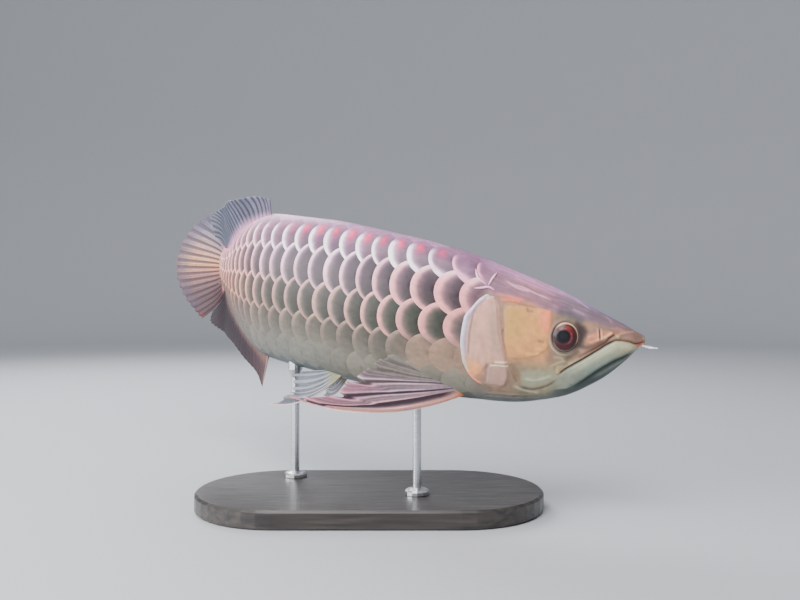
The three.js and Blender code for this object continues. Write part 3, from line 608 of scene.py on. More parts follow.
def fin_material(name, clear=False, **sockets):
    """Membrane and rays: painted, a little waxy, and thin where it is clear"""
    made = Nodes(name, 0.5, Subsurface_Weight=0.1, Subsurface_Scale=0.002, Specular_IOR_Level=0.35, **sockets)
    mottled = made.ranged(made.noise(420, 5), 0.9, 1.1)
    paint = made.attribute("paint").outputs["Color"]
    made.link(made.shade(paint, mottled), made.shader.inputs["Base Color"])
    made.link(made.ranged(made.noise(900), 0.42, 0.62), made.shader.inputs["Roughness"])
    joint = made.math("SINE", made.math("MULTIPLY", made.attribute("along_ray").outputs["Fac"], 4.2), 0.0)
    height = made.math("ADD", made.math("MULTIPLY", joint, 0.3), made.noise(1300, 5))
    made.bump(height, 0.35, 0.08)
    if clear:
        made.link(made.attribute("cover").outputs["Fac"], made.shader.inputs["Alpha"])
    return made.material


def wood_material():
    """Black stained wood with a faint long grain under satin varnish"""
    made = Nodes("black_wood", 0.38, Coat_Weight=0.25, Coat_Roughness=0.25)
    grain = made.noise(60, 8, (0.4, 6, 6))
    made.ramp(grain, (0.35, (0.010, 0.009, 0.008, 1)), (0.7, (0.045, 0.036, 0.030, 1)))
    made.link(made.ranged(made.noise(200, 6, (0.3, 5, 5)), 0.3, 0.48), made.shader.inputs["Roughness"])
    made.bump(grain, 0.25, 0.15)
    return made.material


def steel_material():
    """Steel rod brushed round its length"""
    made = Nodes("brushed_rod", 0.3, Metallic=1.0)
    brushed = made.noise(900, 6, (0.15, 0.15, 6))
    made.ramp(brushed, (0.0, (0.42, 0.43, 0.45, 1)), (1.0, (0.66, 0.67, 0.69, 1)))
    made.link(made.ranged(brushed, 0.22, 0.4), made.shader.inputs["Roughness"])
    made.bump(brushed, 0.15, 0.03)
    return made.material


# Colours of the body by share, from the back's midline to the belly's

# Rims are brightest just under the back and the tones grow darker towards the belly: partly the fish's own
# colour, partly painted light from above and painted shade below
TONE_SHARES = (0.0, 0.08, 0.167, 0.333, 0.5, 0.667, 0.833, 1.0)
RIM_TONES = tone_curve(TONE_SHARES, (
    (186, 160, 184), (212, 188, 210), (255, 250, 253), (228, 204, 214),
    (190, 165, 161), (168, 150, 141), (140, 139, 132), (88, 98, 100),
))
CENTRE_TONES = tone_curve(TONE_SHARES, (
    (186, 158, 182), (182, 152, 176), (152, 122, 144), (96, 78, 92),
    (86, 83, 78), (114, 109, 100), (138, 138, 131), (86, 97, 100),
))
TAIL_RIM_TONES = tone_curve(TONE_SHARES, (
    (226, 180, 192), (244, 202, 208), (253, 217, 216), (253, 214, 205),
    (248, 204, 188), (206, 171, 156), (148, 128, 117), (108, 101, 97),
))
TAIL_CENTRE_TONES = tone_curve(TONE_SHARES, (
    (212, 168, 180), (200, 158, 172), (178, 144, 156), (162, 132, 138),
    (154, 126, 122), (134, 113, 104), (114, 103, 95), (96, 91, 88),
))


def flank_tone(place, share):
    """Colour of the plain skin, which shows between scales"""
    return tint(CENTRE_TONES(share), TAIL_CENTRE_TONES(share), smooth(place, 0.6, 0.88))


# Skin with the head's relief. Lines and patches on the head are points of s and share.
# Tones of the head by s, in bands from the crown down to the throat, and of the jaw's band

CROWN_TONES = tone_curve((0, 12, 22, 36, 50, 62, 95), (
    (114, 108, 142), (132, 120, 152), (148, 130, 158), (174, 158, 184),
    (190, 162, 186), (204, 170, 194), (190, 158, 184)))
TEMPLE_TONES = tone_curve((0, 20, 34, 45, 55, 70, 95), (
    (146, 120, 116), (144, 123, 128), (144, 127, 138), (140, 123, 134),
    (156, 128, 140), (168, 134, 143), (156, 128, 143)))
MIDDLE_TONES = tone_curve((0, 14, 22, 34, 44, 54, 60, 80, 86, 95), (
    (170, 138, 118), (168, 138, 121), (160, 138, 125), (174, 150, 135), (144, 133, 117),
    (166, 142, 124), (200, 163, 128), (196, 161, 127), (172, 148, 134), (160, 137, 127)))
LOW_TONES = tone_curve((0, 30, 45, 60, 72, 82, 95), (
    (146, 146, 134), (140, 148, 138), (164, 158, 138), (162, 150, 129), (158, 145, 126),
    (158, 138, 122), (152, 142, 132)))
# The throat's tones are darkest under the jaw's front, where painted shade stands for the shadow under the
# head
THROAT_TONES = tone_curve((0, 20, 40, 55, 75, 95), (
    (62, 76, 74), (54, 70, 68), (84, 96, 92), (122, 128, 124), (124, 130, 130), (130, 134, 132)))
JAW_TONES = tone_curve((0, 8, 20, 34, 50), (
    (176, 154, 138), (190, 184, 166), (176, 179, 166), (162, 168, 158), (158, 160, 148)))

LIP_BORDER = ((4.5, 0.536), (8.7, 0.476), (14.8, 0.445), (17.7, 0.452))
MOUTH_CREASE = ((17.7, 0.452), (22.5, 0.501), (26.8, 0.548), (34.5, 0.615), (44.5, 0.691), (48.3, 0.735))
MOUTH = ((-1, 0.56),) + LIP_BORDER + MOUTH_CREASE[1:]
LIP_TOP = ((7.5, 0.267), (12.1, 0.326), (17.6, 0.380))
UPPER_GROOVE = ((17.2, 0.384), (20.4, 0.424), (23, 0.478), (29.3, 0.540), (37, 0.602), (46, 0.672))
JAW_GROOVE = ((5, 0.75), (10.4, 0.743), (15.7, 0.732), (20.5, 0.752), (25.1, 0.778), (29.7, 0.813),
              (35, 0.850), (41, 0.868))
NOSTRIL = ((27.2, 0.335), (26.6, 0.398), (26.2, 0.455))
THROAT_FOLD = ((70.9, 0.827), (67.6, 0.846), (61.1, 0.855), (53, 0.823), (48.7, 0.774))
BROWN_BAND = ((76.8, 0.672), (74.6, 0.73), (72.3, 0.805))
CHEEK = ((84.6, 0.364), (81.2, 0.338), (73, 0.322), (66.5, 0.318), (60.9, 0.300), (56.6, 0.296),
         (55.8, 0.383), (56.2, 0.455), (56.4, 0.545), (60.8, 0.605), (68.5, 0.633), (76.3, 0.650),
         (80.2, 0.635), (82.9, 0.553))
CHEEK_FRONT = ((56.3, 0.300), (61.8, 0.302), (62.4, 0.38), (60.5, 0.46), (56.4, 0.47))
NOSE_PATCH = ((35.7, 0.451), (30.3, 0.380), (22, 0.334), (18.5, 0.363), (22, 0.43), (29.6, 0.494),
              (35.5, 0.485))
BEFORE_EYE = ((41, 0.335), (36.5, 0.350), (34.6, 0.385), (36.0, 0.451), (37.4, 0.515), (42, 0.53))
GULAR = ((71, 0.72), (60, 0.70), (50, 0.735), (50, 0.765), (56, 0.82), (64, 0.842), (70, 0.82))

# Groups of lines: half width, colour, strength and relief, then each line
HEAD_LINES = (
    (0.65, (232, 200, 214), 0.75, 0.15, (
        ((81.4, 0.211), (74.8, 0.200), (67, 0.213), (55.9, 0.224)),
        ((85.8, 0.191), (78, 0.217), (69.2, 0.211)),
        ((43.7, 0.099), (38.5, 0.129), (33.3, 0.155)),
    )),
    (0.9, (204, 176, 196), 0.5, 0.12, (
        ((89, 0.11), (74, 0.105), (60, 0.115)),
        ((84, 0.15), (70, 0.155), (52, 0.175)),
        ((62, 0.06), (48, 0.075), (34, 0.10)),
        ((44, 0.236), (40, 0.243), (36, 0.253)),
        ((24, 0.152), (21.1, 0.183), (19.9, 0.245)),
    )),
    (0.9, (218, 144, 130), 0.75, 0.22, (
        ((90.8, 0.298), (84.7, 0.290), (77.4, 0.284), (71.9, 0.284)),
        ((87.5, 0.320), (81.5, 0.307), (75, 0.304)),
    )),
    (0.8, (148, 112, 102), 0.6, -0.15, (
        ((86, 0.337), (79, 0.318), (71, 0.309), (65, 0.306)),
        ((70.5, 0.315), (70.2, 0.342), (67.2, 0.330)),
        ((63.3, 0.509), (59, 0.513)),
        ((84.4, 0.40), (82.9, 0.553), (80.2, 0.640)),
    )),
    (0.9, (230, 196, 150), 0.45, 0.14, (
        ((64.4, 0.557), (60.7, 0.563), (56.5, 0.552)),
        ((70, 0.605), (65, 0.60), (61, 0.592)),
    )),
    (1.0, (208, 198, 164), 0.5, 0.15, (
        ((44.3, 0.630), (48.3, 0.642), (54.9, 0.687)),
        ((53.1, 0.609), (48.6, 0.610), (44.3, 0.627)),
        ((37.1, 0.603), (40.2, 0.625), (44, 0.657)),
    )),
    (0.9, (236, 206, 172), 0.85, 0.35, (
        ((18.6, 0.345), (21.8, 0.395), (25.8, 0.437), (28.9, 0.467)),
    )),
    (0.9, (188, 152, 160), 0.6, 0.1, (
        ((17.8, 0.292), (14.3, 0.293), (10.8, 0.330)),
    )),
    # A broad dark band over the eye: painted shade under the brow
    (2.2, (108, 100, 108), 0.65, -0.2, (
        ((54.9, 0.305), (46.1, 0.283), (40, 0.306), (36.5, 0.325)),
    )),
    (1.5, (116, 92, 80), 0.6, -0.1, (
        ((38.5, 0.50), (33.5, 0.52), (28.0, 0.49), (23.5, 0.44)),
        ((37.5, 0.54), (42.5, 0.59), (47.0, 0.63)),
    )),
    (0.8, (226, 178, 158), 0.6, 0.15, (
        ((34.5, 0.44), (31.0, 0.42), (27.8, 0.43)),
        ((33.0, 0.48), (30.0, 0.465), (27.0, 0.44)),
    )),
    (2.4, (146, 122, 103), 0.7, -0.3, (BROWN_BAND,)),
    (1.0, (196, 198, 182), 0.7, 0.2, (
        ((69.3, 0.767), (61.8, 0.783), (51.6, 0.748)),
        ((75.2, 0.824), (66.4, 0.862), (58, 0.888)),
    )),
)
EYE_S, EYE_H, EYE_WIDE, EYE_TALL = 47.1, -1.0, 8.4, 9.6

HEAD_RINGS, BODY_RINGS, HALF_TURNS = 210, 64, 170
SNOUT_DEPTH = 1.8
# The skin drops by this much under the coat
UNDER_COAT = 0.7
# Millimetres round the half section that a share of 1 stands for in the head's patches
PLAIN_GIRTH = 92.0


class HeadPlane:
    """The right half of the head laid out straight, for distances to lines drawn on it"""

    def __init__(self, place, share):
        self.s = place * STANDARD_LENGTH
        self.share = share
        self.h, width = even_section(place, share)
        self.points = np.stack([self.s, self.h, width], -1)

    def near(self, line, samples=40):
        s, share = spline(line)(np.linspace(0, 1, samples)).T
        height, width = even_section(s / STANDARD_LENGTH, share)
        return near_path(self.points, np.stack([s, height, width], -1))

    def inside(self, corners):
        """Distance inside a patch, negative outside it"""
        outline = tuple((s, share * PLAIN_GIRTH) for s, share in corners)
        return inside_polygon(self.s, self.share * PLAIN_GIRTH, outline)

    def below(self, line):
        """Whether a spot lies on the belly's side of a line that runs along the body"""
        points = sorted(line)
        return self.share > np.interp(self.s, [p[0] for p in points], [p[1] for p in points])


def head_ground(plane):
    """The head before its features are drawn, with long soft streaks on the crown"""
    s, share = plane.s, plane.share
    crown = fall(share, 0.25, 0.31)
    throat = share + 0.01 * cloud(s / 6, share * 8) - 0.05 * smooth(s, 45, 60)
    streaks = cloud(s / 8, share * 95 + s * 0.05) + 0.7 * cloud(s / 3 + 20, share * 170)
    blotches = cloud(s / 6 + 7, share * 14) + 0.5 * cloud(s / 2.5, share * 36 + 9)
    strokes = cloud(s / 1.6 + 3 * share, share * 26 + s * 0.12) * (1 - crown)
    paint = Paint(CROWN_TONES(s), 0.035 * streaks * crown + 0.03 * blotches)
    paint.tint(TEMPLE_TONES(s), smooth(share, 0.09, 0.2))
    # Along the crown's top outline the skin is painted darker and bluish: a painted reflection at the edge
    paint.tint((116, 108, 142), 0.45 * fall(share, 0.0, 0.045))
    paint.tint(MIDDLE_TONES(s), smooth(share + 0.012 * cloud(s / 5, share * 9), 0.275, 0.32))
    paint.tint(LOW_TONES(s), smooth(share, 0.59, 0.72))
    paint.tint(THROAT_TONES(s), smooth(throat, 0.80, 0.92))
    paint.shade(1 + 0.065 * streaks * crown + 0.045 * blotches + 0.03 * strokes)
    return paint


def paint_mouth(plane, paint):
    """Lips, jaw band and the grooves beside them"""
    s, share = plane.s, plane.share
    mouth, mouth_along = plane.near(MOUTH, 90)
    groove, groove_along = plane.near(UPPER_GROOVE, 60)
    ridge, ridge_along = plane.near(JAW_GROOVE, 60)
    lip_top, _ = plane.near(LIP_TOP)
    over = ~plane.below(MOUTH)

    lobe = over & plane.below(((0, 0.10), *LIP_TOP)) & (s < 20)
    lobe = smooth(lip_top, 0, 1.4) * lobe * fall(s, 15.5, 20)
    paint.mark((156, 132, 124), 0.9, 0.75, lobe)
    paint.tint((190, 172, 150), 0.45 * lobe * bump(mouth - 1.6, 1.2))
    paint.tint((196, 156, 140), 0.5 * bump(lip_top, 0.8) * (s < 19))
    paint.lift -= 0.35 * bump(lip_top + 0.9, 0.7) * (s < 19)
    strip = over & plane.below(UPPER_GROOVE) & (s > 15) & (s < 50)
    paint.mark((182, 166, 136), 0.75, 0.5, smooth(np.minimum(mouth, groove), 0, 1.0) * strip)
    # Painted shade darkens the groove over the upper jaw
    groove_ends = between(groove_along, 0, 0.08, 0.45, 1.0)
    paint.lift -= 0.5 * bump(groove, 0.8) * groove_ends
    paint.tint((112, 80, 66), 0.8 * bump(groove - 0.2, 1.1) * groove_ends)

    band = plane.below(MOUTH) & ~plane.below(JAW_GROOVE) & (s < 56)
    paint.lift += band * smooth(np.minimum(mouth, ridge), 0, 1.8) * fall(s, 38, 52)
    paint.tint(JAW_TONES(s), 0.95 * band * fall(s, 44, 56))
    # A paler strip along the band's upper edge: partly its own pale colour and partly a painted highlight
    paint.tint((214, 214, 192), 0.7 * band * bump(mouth - 2.9, 2.2) * fall(s, 34, 46))
    paint.tint((128, 146, 140), 0.5 * band * bump(ridge - 1.8, 1.6) * fall(s, 36, 46))
    # Painted shade darkens the groove under the jaw band
    ridge_ends = between(ridge_along, 0, 0.12, 0.8, 1)
    paint.lift -= 0.9 * bump(ridge, 1.5) * ridge_ends
    paint.tint((54, 68, 66), 0.8 * bump(ridge, 2.2) * ridge_ends)

    # The line between the lips is soft at the snout and dark behind it: painted shade in the gap between the
    # lips
    soft = fall(s, 15, 21)
    dark = (1 - soft) * fall(mouth_along, 0.93, 1)
    paint.lift -= (0.65 * dark + 0.5 * soft) * bump(mouth, 0.6) * fall(mouth_along, 0.93, 1)
    paint.tint((92, 76, 64), 0.88 * bump(mouth, 0.7) * dark)
    paint.tint((150, 120, 104), 0.6 * bump(mouth, 0.8) * soft)
    paint.tint((204, 104, 92), 0.8 * bump(np.hypot(s - 2.2, (share - 0.607) * 60), 2.2))


def paint_eye_socket(plane, paint):
    """The hollow for the eye and its lids, with painted shade in the hollow and over the sunk skin before it
    """
    fore, up = EYE_S - plane.s, plane.h - EYE_H
    from_eye = 9.0 * np.hypot(fore / EYE_WIDE, up / EYE_TALL)
    angle = np.degrees(np.arctan2(fore, up))
    before = smooth(plane.inside(BEFORE_EYE), -2.6, 1.8) * (from_eye > 8)
    paint.mark((84, 70, 68), 0.9, -0.3, before)
    paint.lift += 0.4 * bump(from_eye - 9.1, 0.8) - 5.5 * fall(from_eye, 7.3, 8.4)
    low_rear = bump((np.mod(angle, 360) - 215) / 70)
    # Painted shade round the socket's edge and on its wall under the eye; the pale lid below and behind is
    # its own colour
    paint.tint((112, 98, 94), 0.4 * bump(from_eye - 9.3, 0.6))
    paint.tint((196, 192, 178), 0.75 * low_rear * bump(from_eye - 10.0, 0.55))
    paint.tint((120, 106, 98), 0.8 * fall(from_eye, 8.1, 8.8))


def paint_head(plane):
    """How far the skin is lifted, and its colour, over the head"""
    s, share = plane.s, plane.share
    paint = head_ground(plane)

    # Gold plate of the cheek, rosier in front, and the pale skin under it
    plate = smooth(plane.inside(CHEEK), -0.6, 1.4)
    shade = 7 * cloud(s / 3.2, share * 30) + 5 * cloud(s / 1.1 + 5, share * 60)
    gold = np.stack([203 + shade, 168 + shade, 125 + 0.6 * shade], -1)
    gold = tint(gold, (196, 172, 122), 0.7 * smooth(s, 66, 78) * fall(share, 0.5, 0.6))
    paint.lift += 0.4 * plate
    paint.tint(gold, 0.85 * plate * (1 - 0.6 * smooth(share, 0.56, 0.65)))
    front = smooth(plane.inside(CHEEK_FRONT), -3.2, 2.2) * plate * (1 - 0.6 * smooth(share, 0.40, 0.47))
    paint.tint((230, 160, 142), 0.8 * front * (0.85 + 0.3 * cloud(s / 2, share * 36)))
    paint.tint((172, 173, 156), 0.85 * smooth(plane.inside(GULAR), -1.5, 2.0))
    nose = smooth(plane.inside(NOSE_PATCH), -0.8, 1.2)
    paint.tint((208, 160, 140), 0.8 * nose * (0.8 + 0.35 * cloud(s / 2.2, share * 40)))
    paint.draw(HEAD_LINES, plane.near, 0.2)

    # The nostril: a pale raised rim round a sunk slit darkened by painted shade
    slit, along = plane.near(NOSTRIL)
    paint.mark((222, 190, 172), 0.7, 0.25, bump(slit - 1.1, 0.6) * ends(along))
    paint.mark((104, 70, 66), 0.8, -0.7, bump(slit, 0.45) * ends(along, 0.3))
    paint_mouth(plane, paint)
    paint_eye_socket(plane, paint)

    # Fold of the throat, the gill folds behind it, and the pores along the jaw; the fold and the pores are
    # sunk and darkened by painted shade
    fold, along = plane.near(THROAT_FOLD, 50)
    paint.mark((98, 100, 94), 0.6, -0.45, bump(fold, 0.9) * ends(along, 0.25))
    paint.lift += 0.14 * np.sin(share * 190) * smooth(share, 0.86, 0.9) * between(s, 56, 64, 88, 92)
    for k in range(7):
        pore = np.hypot(s - (13 + 4.6 * k), (share - (0.715 + 0.02 * k)) * 70)
        paint.mark((112, 116, 106), 0.5, -0.35, bump(pore, 0.45))
    return paint


def skin_places():
    """Places of the skin's rings, the first of them rounding off the snout"""
    head = np.linspace(0, HEAD_END + 0.005, HEAD_RINGS)
    body = np.linspace(HEAD_END + 0.005, TAIL_END + 0.05, BODY_RINGS + 1)[1:]
    return np.concatenate([head, body])


def add_skin():
    """One skin over head, jaw, trunk and tail"""
    share = np.linspace(0, 1, HALF_TURNS + 1)[None, :]
    place, share = np.broadcast_arrays(skin_places()[:, None], share)
    paint = paint_head(HeadPlane(place, share))
    sunk = smooth(place, HEAD_END - 0.001, HEAD_END + 0.03)
    paint.lift = paint.lift * (1 - sunk) - UNDER_COAT * sunk
    paint.tint(flank_tone(place, share), sunk)
    both_sides = np.concatenate([np.arange(HALF_TURNS + 1), np.arange(HALF_TURNS - 1, 0, -1)])
    place, lift, colours = (values[:, both_sides] for values in (place, paint.lift, paint.colours))
    turn = np.broadcast_to(np.arange(len(both_sides)) / len(both_sides), place.shape)
    rings = skin_point(place, turn) + skin_normal(np.maximum(place, 0.003), turn) * lift[..., None]
    # Rings that close the snout
    ahead = -directions_at(0.0)[0]
    middle = rings[0].mean(0)
    angles = np.radians(np.linspace(8, 78, 7))[:, None, None]
    caps = middle + (rings[0] - middle) * np.sin(angles) + ahead * SNOUT_DEPTH * np.cos(angles)
    rings = np.concatenate([caps, rings])
    colours = np.concatenate([np.repeat(colours[:1], len(caps), 0), colours])
    hubs = (rings[0].mean(0) + ahead * 0.02, rings[-1].mean(0))
    material = painted_material("fish_skin", 0.46, Coat_Weight=0.1, Coat_Roughness=0.3,
                                Specular_IOR_Level=0.3)
    piece = ring_piece("fish_skin", rings, hubs, material, colours)
    finish_piece(piece, "head_skin", "head", "lower_jaw", "trunk_front", "trunk_rear", "tail")


# Ridges at the nape

NAPE_LINES = (
    ((103.2, 0.18), (100.9, 0.233), (95.9, 0.255)),
    ((94.6, 0.258), (92.9, 0.21), (90.6, 0.155)),
    ((103, 0.299), (98.1, 0.283), (94.2, 0.268), (90.4, 0.276)),
)
# How far the ridges' middles stand over the skin
NAPE_RISE = 0.45


def add_nape_ridges(side, word):
    """Thin pale ridges that meet at the nape, over the skin and the first scales"""
    t = np.linspace(0, 1, 28)
    for number, line in enumerate(NAPE_LINES, 1):
        s, share = spline(line)(t).T
        turn = share / 2 if side == RIGHT else 1 - share / 2
        place = s / STANDARD_LENGTH
        normal = skin_normal(place, turn)
        radii = 0.12 + 0.55 * np.sin(np.pi * t) ** 0.6
        middles = skin_point(place, turn) + normal * (NAPE_RISE - 0.5 + 0.5 * np.sin(np.pi * t))[:, None]
        sideways = unit(np.cross(np.gradient(middles, axis=0), normal))
        colours = tone_curve((0, 0.5, 1), ((214, 172, 194), (250, 216, 228), (214, 172, 194)))(t)
        material = painted_material("nape_ridge", 0.45)
        piece = make_tube(f"nape_ridge_{word}_{number}", middles, radii, sideways, normal, material, colours)
        finish_piece(piece, "scaled_skin")


# Scales: rows round the body, staggered by half a column. A plate's free rear edge is half an
# ellipse, and its front runs down under the plates ahead of it.

SCALE_ROWS = 12
column_place = station_curve(
    (-3, 0, 3, 6, 12, 18, 24, 27), (0.147, 0.263, 0.373, 0.461, 0.652, 0.835, 0.993, 1.068)
)
SCALE_HEIGHT, SCALE_DEPTH = 0.7, 1.104
FIRST_COLUMN, LAST_COLUMN = -1, 24
COAT_FRONT, COAT_REAR = 0.238, 1.03
# The coat's first scales take the head's colours up to this place, and two columns cut it in three
HEAD_COLOURS_END = 0.262
COAT_CUTS = (5.9, 14.9)
SEED_OF_SCALES = 11
SCALE_SPREAD = np.radians(112)
SCALE_STEPS = 32
SCALE_RADII = np.array([0.25, 0.45, 0.6, 0.7, 0.78, 0.84, 0.89, 0.93, 0.965, 0.99, 1.0])
# The outermost rings roll over the edge and end under it
ROLLED_OVER, ROLLED_UNDER = 1.004, 0.994
SCALE_THICKNESS = 0.55
COAT_CELLS = np.array([27.5, 12.5])

# The gill cover's front and rear edges: s against h
GILL_TOP, GILL_BOTTOM = 21.5, -37.5
gill_front = station_curve((GILL_BOTTOM, -30, -19.3, -2, 12.6, GILL_TOP), (80, 76.5, 79, 84.3, 86.5, 89.5))
gill_rear = station_curve(
    (GILL_BOTTOM, -33, -27.3, -19.6, -7.4, 4.6, 12.6, 19.4, GILL_TOP),
    (88, 97, 102.3, 105.4, 106.9, 106, 101.6, 96.5, 93),
)

row_share = station_curve((0, 1, 2, 3, 4, 5, 6), (0, 0.160, 0.350, 0.533, 0.702, 0.855, 1))


def row_turn(row):
    """The turn round the body of a row, counted from the back down the right side and up the left"""
    folded = np.mod(row + SCALE_ROWS / 2, SCALE_ROWS) - SCALE_ROWS / 2
    return np.mod(np.sign(folded) * row_share(np.abs(folded)) / 2, 1)


def column_pitch(column):
    return (column_place(column + 0.5) - column_place(column - 0.5)) * STANDARD_LENGTH


def scale_list():
    """Column of the tip and row of every scale"""
    found = []
    for row in range(SCALE_ROWS):
        for column in range(FIRST_COLUMN, LAST_COLUMN + 1):
            tip = column + (0.5 if row % 2 == 0 else 0.0)
            if COAT_FRONT <= column_place(tip) < COAT_REAR:
                found.append((tip, row))
    return np.array(sorted(found))


def nearest_share(turn):
    """Share from the back to the belly of a spot on either side"""
    wrapped = np.mod(turn, 1)
    return 2 * np.minimum(wrapped, 1 - wrapped)


def scale_shape(tips, rows):
    """Many scales at once, as rings of spots round each one's middle"""
    angle = np.linspace(-1, 1, SCALE_STEPS + 1) * SCALE_SPREAD
    radius = np.concatenate([[0.0], SCALE_RADII, [ROLLED_OVER, ROLLED_UNDER]])[:, None]
    x = SCALE_DEPTH * (radius * np.cos(angle) - 1)
    y = SCALE_HEIGHT * radius * np.sin(angle)
    tips, rows = tips[:, None, None], rows[:, None, None]
    place, turn = column_place(tips + x), row_turn(rows + y)
    share, pitch = nearest_share(turn), column_pitch(tips)
    row_height = half_girth(place) * 2 / SCALE_ROWS
    rim_radius = np.hypot(SCALE_DEPTH * pitch * np.cos(angle), SCALE_HEIGHT * row_height * np.sin(angle))
    from_edge = np.clip(1 - radius, 0, 1) * rim_radius
    side_rim = 0.15 + 0.1 * fall(place, 0.32, 0.46)
    wavy = 1 + 0.09 * cloud(4 * angle + 17 * rows, 13 * tips)
    wavy = wavy + 0.05 * cloud(11 * angle + 5 * rows, 7 * tips + 9)
    rim = pitch * wavy * (side_rim + 0.23 * np.clip(np.cos(angle), 0, 1) ** 1.6)
    rim = rim * (1 - 0.65 * fall(share, 0.2, 0.26) * fall(place, 0.30, 0.40))
    return SimpleNamespace(tips=tips, rows=rows, place=place, turn=turn, share=share, x=x, y=y, pitch=pitch,
                           from_edge=from_edge, rim=rim, radius=radius)


def scale_lift(at):
    """Height of the plates' faces over the skin"""
    flatter = 1 - 0.9 * fall(at.share, 0.09, 0.2) - 0.95 * smooth(at.share, 0.6, 0.76)
    flatter = np.maximum(flatter, 0.05) * (1 - 0.3 * smooth(at.place, 0.7, 0.95))
    flatter = flatter * (0.35 + 0.65 * smooth(at.place, 0.27, 0.37))
    lift = 0.12 + 0.062 * at.pitch * flatter * (at.x + SCALE_DEPTH) / SCALE_DEPTH
    across = np.clip(1 - 2 * at.from_edge / (1.1 * at.rim), -1, 1)
    exposed = fall(-at.x, 0.66, 0.95) * (at.from_edge < 1.1 * at.rim)
    lift = lift + 0.3 * flatter * exposed * (1 - across**2)
    lift = lift - 0.4 * smooth(-at.x, 0.95, 1.4)
    lift = lift + 0.12 * (1 - (at.y / SCALE_HEIGHT) ** 2) * (0.2 + 0.8 * flatter)
    lift = lift - 0.25 * (at.radius == ROLLED_OVER) - SCALE_THICKNESS * (at.radius == ROLLED_UNDER)
    height, _ = even_section(at.place, at.share)
    covered = smooth(gill_rear(height) + 5 - at.place * STANDARD_LENGTH, 0, 4)
    covered = covered * smooth(GILL_TOP + 4 - height, 0, 3) * smooth(height - GILL_BOTTOM + 4, 0, 3)
    emerged = smooth(at.place, HEAD_END - 0.004, HEAD_END + 0.03)
    return lift * (1 - 0.9 * covered) * emerged - 0.06 * (1 - emerged)


def scale_colours(at, seeds):
    """Pale rims round darker middles, tinted by row and by place along the body, with painted shade at the
    middles' fronts and a painted highlight along the free edges
    """
    own_share = nearest_share(row_turn(at.rows))
    share = 0.6 * at.share + 0.4 * own_share
    tip_place = column_place(at.tips) + 0 * at.x
    to_tail = smooth(tip_place, 0.6, 0.88)
    rims = Paint(tint(RIM_TONES(share), TAIL_RIM_TONES(share), to_tail))
    centres = Paint(tint(CENTRE_TONES(share), TAIL_CENTRE_TONES(share), to_tail))

    # Rosier towards the head, mossy in the middle rows there, and beige behind the gill cover
    near_head = fall(tip_place, 0.30, 0.36)
    front_third = fall(tip_place, 0.34, 0.52)
    high = fall(share, 0.21, 0.3)
    flank = between(share, 0.24, 0.34, 0.56, 0.66)
    beige = fall(at.place, 0.32, 0.40) * between(share, 0.55, 0.64, 0.76, 0.86)
    rims.tint((217, 172, 172), 0.85 * front_third * flank)
    rims.tint((240, 192, 210), 0.9 * near_head * high)
    rims.tint((176, 152, 137), 0.8 * beige)
    centres.tint((164, 131, 155), 0.95 * near_head * high)
    centres.tint((80, 86, 74), 0.8 * front_third * bump(share - 0.5, 0.12))
    centres.tint((100, 80, 90), 0.5 * front_third * bump(share - 0.34, 0.08))
    # Darker middles on the first column behind the gill cover: painted shade of the cover's edge
    centres.tint((130, 104, 116), 0.8 * bump((tip_place - 0.272) / 0.03) * flank)
    centres.tint((168, 145, 130), 0.85 * beige)

    clouds = cloud(at.place * 90, at.turn * 160) + 0.6 * cloud(at.place * 210, at.turn * 420 + 3)
    # Painted shade at each plate's front, where the plate ahead overlaps it
    shadow = 0.16 * smooth(-at.x, 0.45, 1.0) * (1 - 0.9 * smooth(share, 0.6, 0.76)) * smooth(share, 0.1, 0.2)
    centres.shade(1 - shadow + 0.05 * clouds)
    rims.shade(1 + 0.03 * clouds)

    # Rosy spots beside the rims of the first row under the back
    up = np.where(at.rows < SCALE_ROWS / 2, -at.y, at.y)
    spot = bump(np.hypot((at.x + 0.52) / 0.17, (up - 0.15) / 0.22))
    in_first_row = np.abs(own_share - row_share(1)) < 0.01
    centres.tint((232, 100, 140), 0.9 * spot * in_first_row * between(tip_place, 0.32, 0.35, 0.58, 0.66))

    width = at.rim * (1 + 0.14 * seeds[:, None, None])
    soft_rim = fall(at.from_edge, 0.3 * width, 1.6 * width)
    firm_rim = fall(at.from_edge, 0.4 * width, 0.85 * width)
    below_back = smooth(at.share, 0.09 + 0.02 * near_head, 0.15 + 0.01 * near_head)
    in_rim = (0.55 * soft_rim + 0.45 * firm_rim) * below_back
    in_rim = in_rim * (1 - 0.85 * smooth(share, 0.62, 0.78) * (1 - 0.6 * to_tail)) * (1 - 0.85 * beige)
    centres.tint(rims.colours, in_rim)
    centres.tint((156, 150, 138), 0.45 * smooth(share, 0.68, 0.8) * fall(at.place, 0.42, 0.62))
    # A painted highlight along each plate's free edge
    painted_edge_highlight = fall(at.from_edge, 0.0, 0.22 * at.rim) * between(share, 0.1, 0.16, 0.5, 0.7)
    centres.tint((250, 236, 238), 0.28 * painted_edge_highlight * (1 - near_head))
    centres.tint((224, 180, 190), 0.6 * smooth(at.place, 0.72, 0.8) * fall(share, 0.05, 0.14))
    centres.shade(1 + 0.04 * np.sin(9 * seeds)[:, None, None])
    return centres.colours


def plate_faces(rings, around):
    """Corners of one plate's faces, as rings and spokes: its top, the fan at its middle, its outline"""
    spokes = range(around - 1)
    top = [((r, k), (r, k + 1), (r + 1, k + 1), (r + 1, k)) for r in range(1, rings - 1) for k in spokes]
    middle = [((0, 0), (1, k + 1), (1, k)) for k in spokes]
    outline = [(r, 0) for r in range(rings)] + [(rings - 1, k) for k in range(1, around)]
    outline += [(r, around - 1) for r in range(rings - 2, 0, -1)]
    return top, middle, list(zip(outline, outline[1:] + outline[:1]))


